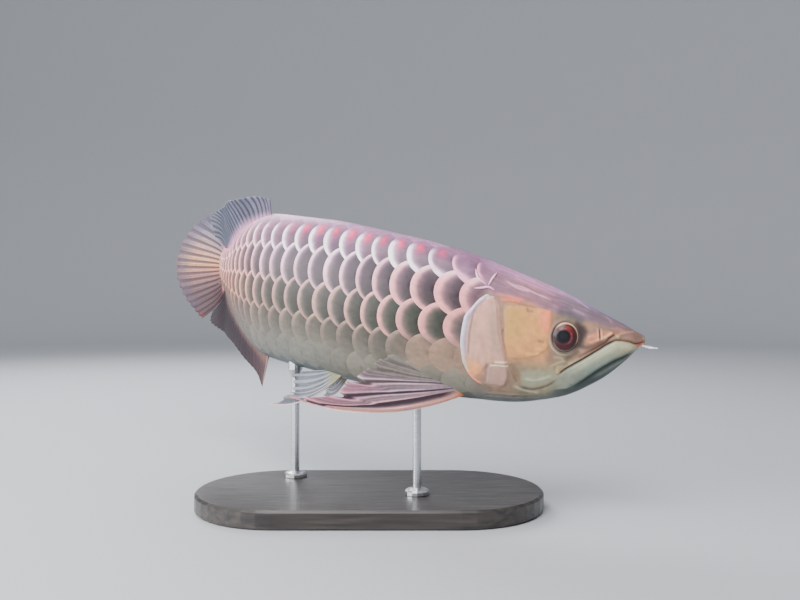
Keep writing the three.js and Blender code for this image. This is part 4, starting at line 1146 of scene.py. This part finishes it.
def add_scales(name, material, tips, rows, seeds):
    """A piece of the coat. Each plate keeps one point of its first ring and has a hub under it."""
    at = scale_shape(tips, rows)
    normal = skin_normal(at.place, at.turn)
    points = skin_point(at.place, at.turn) + normal * scale_lift(at)[..., None]
    colours = scale_colours(at, seeds)
    if at.place.min() < HEAD_COLOURS_END:
        ground = head_ground(HeadPlane(at.place, at.share)).colours
        colours = tint(colours, ground, fall(at.place, COAT_FRONT, HEAD_COLOURS_END))
    count, rings, around = at.place.shape
    keep = np.ones((rings, around), bool)
    keep[0, 1:] = False
    index = np.cumsum(keep.ravel()).reshape(rings, around) - 1
    index[0] = 0
    hub = keep.sum()

    def own(values):
        """Each plate's kept values, and its first ring's once more for the hub"""
        kept = np.broadcast_to(values, (count, rings, around, values.shape[-1]))[:, keep]
        return np.concatenate([kept, kept[:, :1]], 1)

    own_points = own(points)
    own_points[:, hub] -= normal[:, 0, 0] * 0.5

    # Each scale is a wide plate, so its patch is its own cell of the unrolled skin. The plate's top
    # fills the cell, but for a strip that its underside takes.
    local = np.stack(np.broadcast_arrays((at.x + 1.7) / 1.75, at.y / 1.5 + 0.5), -1)
    corner = np.stack([tips + 1.5, rows + 0.125], -1) / COAT_CELLS
    top, middle, under = plate_faces(rings, around)
    groups = []
    for spots, high, shift in ((top, 0.78, 0.0), (middle, 0.78, 0.0), (under, 0.1, 0.82)):
        ring, spoke = np.array(spots).transpose(2, 0, 1)
        faces, places = index[ring, spoke], local[ring, spoke]
        if spots is under:
            faces = np.insert(faces, 0, hub, axis=1)
            places = np.insert(places, 0, 0.5, axis=1)
        patch = (places * (0.9, high) + (0, shift)) / COAT_CELLS
        faces = faces + np.arange(count)[:, None, None] * (hub + 1)
        places = patch + corner[:, None, None]
        sides = faces.shape[-1]
        groups.append((faces.reshape(-1, sides), places.reshape(-1, sides, 2)))
    values = {"from_edge": own(at.from_edge[..., None])}
    piece = make_piece(name, own_points.reshape(-1, 3), groups, material, own(colours).reshape(-1, 3), values)
    finish_piece(piece, "scaled_skin")


def add_coat():
    tips, rows = scale_list().T
    seeds = np.random.default_rng(SEED_OF_SCALES).uniform(-1, 1, len(tips))
    material = scale_material()
    third = np.digitize(tips, COAT_CUTS)
    for number, word in enumerate(("front", "middle", "rear")):
        chosen = third == number
        add_scales(f"scales_{word}", material, tips[chosen], rows[chosen], seeds[chosen])


# Gill covers

SUBOPERCLE = ((90, -22.4), (78, -22.4), (78, -27.7), (79.5, -33.7), (83.7, -39.5), (87.5, -38.8),
              (91, -33.4), (90.5, -27.5))
GILL_ORANGE = ((101.0, -20.5), (94.4, -21.3), (93.0, -27.9), (97.6, -30.8), (101.3, -27.0))
GILL_PLATE = ((96, 18.6), (88.6, 17.6), (86.1, 14), (85.4, 8.7), (84.2, 0.7), (82.7, -7.2), (81.2, -12.6),
              (79, -18.5), (79, -22), (90.5, -22), (94, -28), (97.5, -31.5), (102, -27), (104, -18),
              (104, 2), (101, 12))
# Groups of lines on the gill cover: half width, colour, strength and relief, then each line
GILL_LINES = (
    (0.7, (150, 128, 126), 0.55, -0.2, (
        ((95.8, 16.8), (100.2, 11.4), (101.3, 1.5), (101.8, -4), (101.7, -12.2), (101.4, -18)),
    )),
    (0.9, (240, 178, 152), 0.9, 0.3, (
        ((101.6, -26.4), (98.4, -30.9), (92.4, -34.7)),
    )),
    (0.6, (250, 236, 220), 0.9, 0.35, (
        ((89.8, -22.4), (83.8, -21.8), (78, -22.1)),
        ((86.9, -20.2), (78.8, -19.6)),
    )),
    (0.6, (160, 138, 130), 0.5, -0.2, (
        ((90.6, -22.0), (90.9, -33.4)),
        ((88.6, -21.2), (79, -20.9)),
    )),
    (0.8, (236, 228, 228), 0.6, 0.2, (
        ((96.2, 19.6), (90.9, 21.0)),
        ((94.8, 17.6), (90.5, 19.2)),
    )),
)
GILL_TONES = tone_curve((0, 0.3, 0.62, 1), (
    (218, 184, 176), (208, 181, 168), (204, 178, 165), (186, 164, 150)))
MARGIN_TONES = tone_curve((0, 0.5, 0.75, 1), (
    (218, 210, 224), (212, 207, 216), (206, 198, 188), (172, 160, 148)))
GILL_ROWS, GILL_COLUMNS = 96, 130


def paint_gill(s, h, a, b):
    """Height over the skin and colour of the gill cover"""
    wide = gill_rear(h) - gill_front(h)
    from_rear, from_front = (1 - a) * wide, a * wide
    plate = smooth(inside_polygon(s, h, GILL_PLATE), -0.8, 1.6)
    low_plate = inside_polygon(s, h, SUBOPERCLE)
    raised = 1.15 * smooth(from_front, 0, 3.0) + 0.5 * plate + 0.75 * smooth(from_front, 2, 22)
    raised = (raised + 0.35 * bump(from_rear - 1.9, 1.4)) * between(b, 0, 0.09, 0.93, 1)
    lift = raised - 0.6 - 0.6 * fall(from_rear, 0, 0.7) + 0.35 * smooth(low_plate, -0.8, 1.6)
    lift = lift + 0.03 * cloud(s / 1.2, h / 5) + 0.05 * cloud(s / 6, h / 6)

    tones = Paint(GILL_TONES(b))
    tones.shade(1 + 0.035 * cloud(s / 5, h / 7) + 0.02 * cloud(s / 1.3, h / 6))
    paint = Paint(np.broadcast_to((170.0, 149, 136), tones.colours.shape), lift)
    paint.tint(tones.colours, plate)
    paint.tint((168, 152, 143), 0.45 * bump((from_front - 4.5) / 2.6) * plate * fall(b, 0.55, 0.7))
    paint.tint((156, 150, 138), 0.6 * smooth(-h, 30, 37))
    paint.tint((222, 180, 142), 0.85 * smooth(inside_polygon(s, h, GILL_ORANGE), -2.6, 2.2))
    paint.tint((192, 170, 161), 0.85 * smooth(low_plate, -1.2, 1.6))
    # The soft pale margin, lavender above and cream below
    paint.tint((186, 174, 186), 0.8 * fall(from_rear, 2.8, 4.6) * fall(-h, 12, 20))
    paint.tint(MARGIN_TONES(b), 0.9 * fall(from_rear, 1.2, 2.8) * smooth(b, 0, 0.06))
    spots = np.stack([s, h], -1)
    paint.draw(GILL_LINES, lambda line: near_path(spots, spline(line)(np.linspace(0, 1, 30))), 0.15)
    return paint


def add_gill_cover(side, word):
    """A curved plate of its own over the skin and the first scales"""
    a = np.linspace(0, 1, GILL_COLUMNS)[None, :]
    a = a + 0.02 * np.sin(2 * np.pi * a) / (2 * np.pi)
    a, b = np.broadcast_arrays(a, np.linspace(0, 1, GILL_ROWS)[:, None])
    h = GILL_TOP + (GILL_BOTTOM - GILL_TOP) * b
    s = gill_front(h) + (gill_rear(h) - gill_front(h)) * a
    paint = paint_gill(s, h, a, b)
    front, _ = side_point(s, h, side, paint.lift)
    under = np.minimum(paint.lift - 0.5, 0.3 + 0.4 * a)
    behind, _ = side_point(s - 0.25 * smooth(a, 0.97, 1), h, side, under)
    points, groups = closed_sheet(front, behind)
    material = painted_material(
        "gill_plate_skin", 0.42, Metallic=0.05, Coat_Weight=0.2, Coat_Roughness=0.3, Specular_IOR_Level=0.35)
    colours = np.tile(paint.colours.reshape(-1, 3), (2, 1))
    piece = make_piece(f"gill_plate_{word}", points, groups, material, colours)
    finish_piece(piece, "gill_plate", f"gill_cover_{word}")


# Eyes

EYE_DEPTH, EYE_SUNK = 5.0, 1.9
EYE_RINGS, EYE_SPOKES = 64, 112
PUPIL_FORE, PUPIL_UP = -1.9, 0.6
PUPIL_WIDE, PUPIL_TALL = 3.8, 3.5


def pupil_distance(fore, up):
    """1 on the pupil's edge"""
    return np.hypot((fore - PUPIL_FORE) / PUPIL_WIDE, (up - PUPIL_UP) / PUPIL_TALL)


def eye_colours(fore, up):
    """Colours over the eye at lengths towards the snout and upwards from its middle"""
    radius = np.hypot(fore / EYE_WIDE, up / EYE_TALL)
    angle = np.degrees(np.arctan2(fore, up))
    from_pupil = pupil_distance(fore, up)
    round_pupil = np.degrees(np.arctan2(fore - PUPIL_FORE, up - PUPIL_UP))
    fibre = cloud(angle / 5 + 40, radius * 4)
    above = smooth(up, -4, 5)
    brown = np.stack([78 + 26 * above, 44 + 6 * above, 48 + 4 * above], -1)
    paint = Paint(brown + fibre[..., None] * (9, 5, 4))
    paint.tint((58, 52, 60), 0.75 * smooth(-fore, 3.0, 6.5))
    paint.tint((104, 44, 50), 0.6 * bump((up + 5.5) / 3) * bump((fore - 1) / 5))
    paint.tint((176, 80, 76), 0.8 * bump((round_pupil - 26) / 30) * bump(from_pupil - 1.8, 0.22))
    # A small pinkish spot at the pupil's lower front edge: a painted highlight
    paint.tint((206, 142, 150), 0.7 * bump((round_pupil - 125) / 24) * bump(from_pupil - 1.45, 0.14))
    paint.shade(1 + 0.07 * cloud(angle / 3, radius * 9))
    ring_light = between(round_pupil, -85, -35, 85, 135) * (0.75 + 0.35 * cloud(round_pupil / 14, 7))
    ring = bump(from_pupil - 1.4, 0.14)
    paint.tint((190, 104, 102), 0.8 * ring * ring_light)
    paint.tint((112, 60, 66), 0.5 * ring * (1 - ring_light))
    # Pale margin, yellowish above and towards the snout and grey-green below
    outer = bump(radius - 0.875, 0.06)
    snout_side = between(angle, -75, -25, 105, 140)
    paint.tint((76, 44, 44), 0.7 * bump(radius - 0.77, 0.07) * snout_side)
    paint.tint((212, 206, 182), 0.95 * outer * snout_side)
    paint.tint((146, 144, 132), 0.85 * outer * smooth(np.abs(angle), 95, 140))
    paint.tint((24, 24, 32), fall(from_pupil, 1.0, 1.16))
    # A lighter blue-grey middle in the pupil: a painted reflection
    paint.tint((44, 48, 60), 0.6 * bump(from_pupil, 0.55))
    return paint.colours


def add_eye(side, word):
    """A flattened ball whose pupil stands a little forward under a wet shine"""
    centre, normal = side_point(EYE_S, EYE_H, side)
    back, up, _ = directions_at(EYE_S / STANDARD_LENGTH)
    up = unit(up - normal * (up @ normal))
    fore = unit(-back + normal * (back @ normal))
    half = np.linspace(0, 1, EYE_RINGS)
    polar = np.concatenate([half**0.9 * np.pi / 2, np.pi / 2 + half[1:-1] * np.pi / 2])
    angle = np.linspace(0, 2 * np.pi, EYE_SPOKES, endpoint=False)
    polar, angle = np.meshgrid(polar[1:], angle, indexing="ij")
    in_front = polar < np.pi / 2
    across, above = EYE_WIDE * np.sin(polar) * np.sin(angle), EYE_TALL * np.sin(polar) * np.cos(angle)
    out = EYE_DEPTH * np.cos(polar) - EYE_SUNK
    out = out + 0.35 * bump(pupil_distance(across, above) - 0.95, 0.4) * in_front
    points = centre + normal * out[..., None] + up * above[..., None] + fore * across[..., None]
    margin = np.where(in_front, 1, 1 / np.maximum(np.sin(polar), 1e-3))
    colours = eye_colours(across * margin, above * margin)
    rows, columns = points.shape[:2]
    faces, _ = grid_faces(rows, columns, wrap=True)
    plan = np.stack([np.cos(angle), np.sin(angle)], -1) * (polar / np.pi * 0.49)[..., None] + 0.5
    hub = rows * columns
    front_tip = centre + normal * (EYE_DEPTH - EYE_SUNK + 0.1)
    rear_tip = centre - normal * (EYE_DEPTH + EYE_SUNK)
    flat = np.vstack([points.reshape(-1, 3), front_tip, rear_tip])
    flat_plan = np.vstack([plan.reshape(-1, 2), [(0.5, 0.5), (0.01, 0.01)]])
    ring = np.arange(columns)
    front_cap, _ = fan(hub, ring[::-1])
    rear_cap, _ = fan(hub + 1, hub - columns + ring)
    groups = [(corners, flat_plan[corners]) for corners in (faces, front_cap, rear_cap)]
    flat_colours = np.vstack([colours.reshape(-1, 3), colours[0].mean(0), (134, 140, 128)])
    material = painted_material(
        "wet_eye", 0.4, relief=0.01, mottle=0.05, grain=1600, Coat_Weight=0.14, Coat_Roughness=0.1,
        Specular_IOR_Level=0.25)
    piece = make_piece(f"eyeball_{word}", flat, groups, material, flat_colours)
    finish_piece(piece, "eye", f"eye_{word}")


# Barbels

BARBEL_S, BARBEL_H, BARBEL_OUT, BARBEL_LENGTH = 2.4, -2.4, 2.2, 12.5
BARBEL_TONES = tone_curve((0, 0.2, 0.4, 1), (
    (190, 110, 104), (206, 140, 134), (232, 222, 226), (240, 236, 242)))


def add_barbel(side, word):
    """A tapering feeler from the tip of the lower jaw, red at its root"""
    back, _, left = directions_at(0.0)
    t = np.linspace(0, 1, 40)
    reach = (BARBEL_LENGTH * (t * 1.2 - 0.2))[:, None]
    root = body_point(BARBEL_S, BARBEL_H, side * BARBEL_OUT)
    middle = root - back * reach * 0.9 + left * side * reach * 0.42
    middle[:, 2] -= reach[:, 0] * 0.22 - 1.6 * t**2
    middle[:, 2] += 0.25 * np.sin(t * 9 + side)
    radii = (1.0 - 0.75 * t**0.8) * (1 + 0.05 * np.sin(t * 60))
    upwards = np.broadcast_to((0, 0, 1.0), middle.shape)
    material = painted_material("barbel_skin", 0.4, Coat_Weight=0.2)
    sideways = np.broadcast_to(left, middle.shape)
    piece = make_tube(f"feeler_{word}", middle, radii, sideways, upwards, material, BARBEL_TONES(t))
    finish_piece(piece, "barbel", f"barbel_{word}")


# Fins

MEMBRANE_HALF = 0.22
DORSAL_TONES = tone_curve((0, 0.3, 0.7, 1), (
    (150, 141, 164), (133, 130, 152), (126, 129, 147), (130, 132, 145)))
ANAL_TONES = tone_curve((0, 0.1, 0.35, 1), ((130, 100, 98), (88, 60, 66), (54, 34, 46), (52, 36, 50)))
TAIL_RAY_TONES = tone_curve((0, 0.12, 0.24, 0.4, 0.52, 0.66, 0.8, 1), (
    (146, 146, 168), (180, 172, 186), (214, 188, 182), (234, 196, 162), (210, 166, 150),
    (160, 122, 120), (118, 82, 88), (104, 70, 78)))
TAIL_GAP_TONES = tone_curve((0, 0.3, 0.5, 0.7, 1), (
    (78, 80, 104), (122, 94, 98), (114, 78, 84), (76, 50, 62), (66, 44, 54)))
PECTORAL_TONES = tone_curve((0.5, 0.9, 1.5, 2.5, 3.5, 4.5, 5.5), (
    (216, 180, 168), (204, 170, 163), (174, 154, 160), (162, 146, 153), (150, 140, 142),
    (144, 139, 131), (142, 140, 131)))
PELVIC_TONES = tone_curve((0, 0.2, 1), ((214, 200, 202), (184, 180, 184), (162, 166, 172)))


def add_fin(name, slot, node, middle_at, phase_at, look, form):
    """A fin as one sheet. Its phase is a whole number in each dark gap between two rays."""
    a, b = np.broadcast_arrays(np.linspace(0, 1, form["columns"]), np.linspace(0, 1, form["rows"])[:, None])

    def ray_parts(phase, b):
        off = np.abs(phase - np.round(phase))
        gap = form["gap"] * (1 + form["spread"] * b)
        ray = smooth(off, 0.4 * gap, gap + 0.12)
        fork = bump(np.abs(off - 0.5), 0.06) * smooth(b, form["branch"], form["branch"] + 0.3)
        return ray, fork

    edge_ray, _ = ray_parts(phase_at(a, 1 + 0 * b), 1 + 0 * b)
    run = b * (1 - form["notch"] * (1 - edge_ray) * smooth(b, 0.4, 1))
    phase = phase_at(a, b)
    ray, fork = ray_parts(phase, b)
    step = 2e-3
    across = middle_at(np.minimum(a + step, 1), run) - middle_at(np.maximum(a - step, 0), run)
    along = middle_at(a, np.minimum(run + step, 1)) - middle_at(a, np.maximum(run - step, 0))
    normal = unit(np.cross(across, along))
    thick = MEMBRANE_HALF * (1 - 0.4 * b) + form["ray"] * (1 - 0.5 * b) * (ray - 0.3 * fork)
    thick = thick + np.maximum(form["root"](a) - thick, 0) * np.clip(1 - run / 0.3, 0, 1) ** 2
    thick = thick * (1 - 0.75 * smooth(b, 0.97, 1))
    wave = form["wave"] * np.cos(np.pi * phase) * smooth(b, 0.1, 0.8)
    middle = middle_at(a, run) + normal * wave[..., None]
    points, groups = closed_sheet(middle + normal * thick[..., None], middle - normal * thick[..., None])
    paint, clear = look(a=a, b=b, phase=phase, ray=ray, fork=fork)
    length = np.linalg.norm(middle_at(a, 1 + 0 * b) - middle_at(a, 0 * b), axis=-1)
    fibres = cloud(phase * 7, b * 6) + 0.6 * cloud(phase * 3, b * 40 + 11)
    paint.shade(form["shade"] + 0.05 * fibres)
    values = {"cover": np.tile((1 - clear).ravel(), 2), "along_ray": np.tile((run * length).ravel(), 2)}
    colours = np.tile(paint.colours.reshape(-1, 3), (2, 1))
    piece = make_piece(name, points, groups, form["material"], colours, values)
    finish_piece(piece, slot, node)


def even_phase(cells, lean=0.0):
    """Gaps evenly spaced along the fin, with a ray at either end, that lean outwards"""
    return lambda a, b: 0.5 + (cells - 1) * np.clip(a - lean * b * b, 0, 1)


def median_fin(roots, tips, bow, sway):
    """A fin in the body's middle plane, from its roots and tips as s and h"""
    root_at, tip_at = spline(roots), spline(tips)

    def middle_at(a, b):
        root, tip = root_at(a), tip_at(a)
        s = root[..., 0] + (tip[..., 0] - root[..., 0]) * b
        h = root[..., 1] + (tip[..., 1] - root[..., 1]) * b + bow(a) * 4 * b * (1 - b)
        return body_point(s, h, sway(a) * b * b)

    return middle_at


DORSAL = median_fin(
    ((279, 49), (300, 43.5), (320, 34.5), (338, 23.5), (352, 16.5), (364, 12)),
    ((283, 66), (302, 67), (346, 62), (384, 56), (412, 48), (422, 39), (409, 24)),
    lambda a: 1.5, lambda a: -6 * a * a,
)
ANAL = median_fin(
    ((266, -45), (296, -39), (322, -30), (346, -20), (362, -14), (378, -11)),
    ((272, -73), (283, -64), (306, -59), (336, -54), (368, -55), (392, -56.5), (409, -52.5), (408.5, -42.6)),
    lambda a: -1.0, lambda a: 0 * a,
)
CAUDAL_ROOT = TAIL_END * STANDARD_LENGTH + GAP / 2
CAUDAL = median_fin(
    ((CAUDAL_ROOT, 16.2), (CAUDAL_ROOT, 5), (CAUDAL_ROOT, -5), (CAUDAL_ROOT, -16)),
    ((430, 40), (449, 26), (460, 9), (463.5, -8), (459, -23), (446, -37), (431, -46), (420, -51.5)),
    lambda a: 3 * (0.5 - a), lambda a: 0 * a,
)


# The fins' looks: their paint, and how clear the membrane is


def dorsal_look(a, b, phase, ray, fork):
    paint = Paint(DORSAL_TONES(a))
    paint.shade(1 + 0.1 * cloud(phase, 4 + 0 * b))
    paint.tint((58, 62, 84), 0.92 * (1 - ray) * smooth(b, 0.03, 0.2))
    paint.tint((84, 88, 116), 0.4 * fork)
    paint.tint((170, 172, 196), 0.35 * smooth(b, 0.86, 1) * ray)
    paint.tint((240, 196, 220), 0.95 * fall(b, 0.12, 0.54 - 0.32 * a))
    return paint, 0.12 * smooth(b, 0.5, 1) * (1 - ray)


def anal_look(a, b, phase, ray, **_):
    paint = Paint(ANAL_TONES(a))
    paint.tint((164, 132, 120), 0.9 * fall(b, 0.12, 0.55 - 0.2 * a))
    paint.tint((44, 30, 42), 0.3 * (1 - ray) * smooth(b, 0.2, 0.5))
    paint.shade(1 + 0.1 * cloud(phase * 1.7, b * 2.5) + 0.08 * cloud(phase * 5, b * 5 + 30))
    paint.tint((204, 176, 172), 0.85 * fall(a, 0.0, 0.03))
    paint.tint((66, 44, 60), 0.5 * smooth(b, 0.8, 1))
    return paint, 0.08 * smooth(b, 0.5, 1) * (1 - ray)


def caudal_look(a, b, ray, fork, **_):
    gaps = TAIL_GAP_TONES(a)
    paint = Paint(TAIL_RAY_TONES(a))
    paint.tint(gaps, 0.92 * (1 - ray) * smooth(b, 0.06, 0.3))
    paint.tint(gaps, 0.35 * fork)
    paint.tint((108, 94, 124), 0.6 * smooth(b, 0.68, 1.0) * fall(a, 0.75, 0.95))
    paint.tint((150, 52, 58), 0.6 * smooth(b, 0.8, 1) * smooth(a, 0.84, 0.97))
    paint.tint((250, 192, 184), 0.95 * fall(b, 0.05, 0.28))
    return paint, 0.1 * smooth(b, 0.5, 1) * (1 - ray)


PAIRED_ROOT_SUNK = 2.5


def paired_fin(root_front, root_rear, tips, droop, side, flare):
    """A fin whose rays fan from a short root to tips given as lengths back, out and up"""
    start, _ = side_point(root_front[0], root_front[1], side, -PAIRED_ROOT_SUNK)
    end, _ = side_point(root_rear[0], root_rear[1], side, -PAIRED_ROOT_SUNK)
    back, up, left = directions_at(root_front[0] / STANDARD_LENGTH)
    reach_at = spline([(x, y + flare * x, z) for x, y, z in tips])

    def middle_at(a, b):
        reach = reach_at(a)
        root = start + (end - start) * a[..., None]
        tip = start + back * reach[..., :1] + left * side * reach[..., 1:2] + up * reach[..., 2:]
        sag = droop * 4 * b * (1 - b) * (1 - a)
        return root + (tip - root) * b[..., None] - up * sag[..., None]

    return middle_at


PECTORAL = dict(
    root_front=(101, -44.5), root_rear=(106, -37), droop=12,
    tips=((105, 35.5, -12.5), (82, 28.5, -10), (72, 23, -1), (62.5, 18, 8.5), (55, 13, 16), (47, 9.5, 19.5)),
)
PELVIC = dict(
    root_front=(186, -45.5), root_rear=(194, -44.5), droop=8,
    tips=((42, 25, -27), (32, 18, -19), (31.5, 15, -17), (33, 12, -13), (35, 9.5, -7.6), (32.5, 4.5, -4.6)),
)

# The pectoral fin's dark gaps, as share of the way out and place across
PECTORAL_GAPS = (
    ((0, 0.205, 0.44, 0.59, 0.735, 0.825, 0.9), (0.44, 0.425, 0.36, 0.305, 0.23, 0.125, 0.04)),
    ((0, 0.29, 0.6, 0.805, 0.975), (0.56, 0.525, 0.45, 0.355, 0.25)),
    ((0, 0.25, 0.55, 0.795, 0.955), (0.72, 0.71, 0.64, 0.54, 0.455)),
    ((0, 0.245, 0.585, 0.79, 0.945), (0.82, 0.80, 0.725, 0.695, 0.655)),
    ((0, 0.48, 0.68, 0.885), (0.90, 0.85, 0.835, 0.805)),
)


def pectoral_phase(a, b):
    """A whole number in each dark gap, from 1 in the lowest one, and halves at the fin's two edges"""
    stops = [0 * b - 1e-3] + [station_curve(*gap)(b) for gap in PECTORAL_GAPS] + [0 * b + 1.001]
    phases = (0.5, 1.0, 2.0, 3.0, 4.0, 5.0, 5.5)
    phase = np.zeros_like(a)
    for k in range(len(phases) - 1):
        low, high = stops[k], np.maximum(stops[k + 1], stops[k] + 0.01)
        t = (a - low) / (high - low)
        inside = (a >= low) & (a <= high)
        phase = np.where(inside, phases[k] + (phases[k + 1] - phases[k]) * t, phase)
    return phase


def pectoral_look(b, phase, ray, **_):
    off = np.abs(phase - np.round(phase))
    paint = Paint(PECTORAL_TONES(phase))
    gap_tone = tint(np.array([62.0, 46, 58]), (112, 102, 100), smooth(phase, 2.4, 3.4))
    paint.tint(gap_tone, 0.92 * (1 - ray) * smooth(b, 0.04, 0.2))
    paint.tint((255, 246, 250), 0.95 * fall(phase, 0.53, 0.68) * smooth(b, 0.1, 0.35))
    streak = bump(off - 0.2, 0.05) * (phase > 0.8) * (phase < 3.4)
    paint.tint((244, 222, 230), 0.85 * streak * smooth(b, 0.15, 0.5))
    paint.tint((96, 74, 86), 0.5 * bump(off - 0.4, 0.05) * (phase > 1) * smooth(b, 0.3, 0.7))
    paint.tint((226, 160, 180), 0.35 * smooth(b, 0.7, 0.95) * ray * (phase < 3))
    paint.tint((222, 156, 116), 0.8 * fall(b, 0.03, 0.1) * (phase < 1.6))
    return paint, 0.15 * (1 - ray) * smooth(b, 0.3, 1)


def pelvic_look(a, b, ray, **_):
    paint = Paint(PELVIC_TONES(a))
    paint.tint((112, 120, 136), 0.85 * (1 - ray) * smooth(b, 0.1, 0.4))
    paint.tint((158, 158, 118), 0.7 * fall(b, 0.06, 0.34))
    paint.tint((250, 232, 238), 0.9 * fall(a, 0.0, 0.07) * smooth(b, 0.25, 0.6))
    return paint, 0.4 * (1 - ray) * smooth(b, 0.15, 0.5)


def caudal_root_half(a):
    """Half the thickness of the caudal fin's root, which is round like the tail's end"""
    return 0.9 + 3.4 * np.sqrt(np.clip(1 - (2 * a - 1) ** 2, 0, 1))


def even_root(half):
    return lambda a: half + 0 * a


def add_fins():
    solid = fin_material("fin_membrane")
    thin = fin_material("clear_fin_membrane", clear=True)
    form = dict(rows=64, ray=0.36, gap=0.17, spread=0.5, branch=0.35, notch=0.02, wave=0.1, material=solid,
                shade=0.86)
    dorsal = dict(form, columns=309, gap=0.2, spread=0.2, ray=0.28, root=even_root(1.6))
    anal = dict(form, columns=261, ray=0.14, gap=0.1, wave=0.05, root=even_root(1.4))
    caudal = dict(form, columns=241, rows=96, ray=0.5, notch=0.025, root=caudal_root_half)
    paired = dict(form, shade=0.94, root=even_root(1.0))
    pectoral = dict(paired, columns=161, rows=120, gap=0.12, spread=-0.45, branch=0.6, notch=0.06, ray=0.2,
                    wave=0.03)
    pelvic = dict(paired, columns=121, rows=72, gap=0.2, branch=0.45, notch=0.08, material=thin)
    for word, middle_at, phase_at, look, own_form in (
        ("dorsal", DORSAL, even_phase(23, 0.06), dorsal_look, dorsal),
        ("anal", ANAL, even_phase(26), anal_look, anal),
        ("caudal", CAUDAL, even_phase(17), caudal_look, caudal),
    ):
        add_fin(f"{word}_rays", f"{word}_membrane", f"{word}_fin", middle_at, phase_at, look, own_form)
    for side, side_word in SIDES:
        # The left fins are spread a little further, by this share of their reach
        for word, shape, flare, phase_at, look, own_form in (
            ("pectoral", PECTORAL, 0.25, pectoral_phase, pectoral_look, pectoral),
            ("pelvic", PELVIC, 0.08, even_phase(7), pelvic_look, pelvic),
        ):
            middle_at = paired_fin(side=side, flare=flare if side == LEFT else 0.0, **shape)
            names = (f"{word}_rays_{side_word}", "paired_membrane", f"{word}_fin_{side_word}")
            add_fin(*names, middle_at, phase_at, look, own_form)


# Stand, floor, lights and camera. The studio's lengths are metres.

CAMERA_PLACE = (0.0202, -0.5322, 0.1371)
CAMERA_LENS = CAMERA_SENSOR = 36.0
FLOOR_RADIUS, FLOOR_CURVE, WALL_RADIUS, WALL_TOP = 2.2, 0.9, 3.1, 3.0
FLOOR_SPOKES = 96


def dress_stand():
    steel = steel_material()
    looks = {"stand_base": wood_material(), "stand_rod_front": steel, "stand_rod_rear": steel}
    for node, material in looks.items():
        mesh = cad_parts[node].data
        mesh.materials.clear()
        mesh.materials.append(material)


def add_floor():
    """A pale floor that curves up into a round wall far behind"""
    flat = np.linspace(0.02, FLOOR_RADIUS, 12)
    curve = np.linspace(0.1, np.pi / 2, 14)
    radius = np.concatenate([flat, FLOOR_RADIUS + FLOOR_CURVE * np.sin(curve), [WALL_RADIUS]])
    height = np.concatenate([0 * flat, FLOOR_CURVE * (1 - np.cos(curve)), [WALL_TOP]])
    angle = np.linspace(0, 2 * np.pi, FLOOR_SPOKES, endpoint=False)
    x, y = radius[:, None] * np.cos(angle), radius[:, None] * np.sin(angle)
    points = np.stack([x, y, height[:, None] + 0 * angle], -1)
    faces, _ = grid_faces(len(radius), FLOOR_SPOKES, wrap=True)
    mesh = bpy.data.meshes.new("studio_floor")
    mesh.from_pydata(points.reshape(-1, 3).tolist(), [], faces.tolist() + [list(range(FLOOR_SPOKES))])
    mesh.shade_smooth()
    made = Nodes("pale_floor", 0.75, Base_Color=(0.42, 0.43, 0.45, 1))
    made.bump(made.noise(40, 3), 0.05, 0.3)
    mesh.materials.append(made.material)
    floor = bpy.data.objects.new("studio_floor", mesh)
    bpy.context.scene.collection.objects.link(floor)


def add_light(name, place, target, size, power, colour):
    data = bpy.data.lights.new(name, "AREA")
    data.shape, data.size, data.energy, data.color = "DISK", size, power, colour
    light = bpy.data.objects.new(name, data)
    back = np.array(place) - np.array(target)
    light.matrix_world = Matrix.Translation(place) @ look_back(back)
    bpy.context.scene.collection.objects.link(light)


def look_back(back):
    """A turn whose local Z axis points along back"""
    z = unit(np.asarray(back, float))
    x = unit(np.cross((0, 0, 1), z))
    y = np.cross(z, x)
    return Matrix(np.stack([x, y, z], 1).tolist()).to_4x4()


def add_lights():
    fish, tail = (0.0, 0.05, 0.13), (-0.15, 0.14, 0.14)
    add_light("key", (-0.3, -0.8, 1.15), fish, 0.9, 24, (1.0, 0.98, 0.97))
    add_light("fill", (-1.15, -0.75, 0.4), fish, 1.2, 33, (0.95, 0.97, 1.0))
    add_light("rim", (-0.5, 0.95, 0.9), fish, 0.8, 15, (0.93, 0.95, 1.0))
    add_light("tail_side", (-1.5, -0.05, 0.5), tail, 0.8, 15, (1.0, 0.97, 0.95))
    world = bpy.data.worlds.new("studio")
    bpy.context.scene.world = world
    world.use_nodes = True
    background = world.node_tree.nodes["Background"]
    background.inputs["Color"].default_value = (0.9, 0.93, 1.0, 1)
    background.inputs["Strength"].default_value = 0.95


def add_camera():
    """Level with the fish and looking straight ahead, as the photograph was taken"""
    data = bpy.data.cameras.new("camera")
    data.lens, data.sensor_width, data.clip_start = CAMERA_LENS, CAMERA_SENSOR, 0.01
    camera = bpy.data.objects.new("camera", data)
    camera.matrix_world = Matrix.Translation(CAMERA_PLACE) @ look_back((0, -1, 0))
    bpy.context.scene.collection.objects.link(camera)
    bpy.context.scene.camera = camera


add_camera()
add_floor()
add_lights()
dress_stand()
add_skin()
add_coat()
for fish_side, side_word in SIDES:
    add_gill_cover(fish_side, side_word)
    add_eye(fish_side, side_word)
    add_barbel(fish_side, side_word)
    add_nape_ridges(fish_side, side_word)
add_fins()
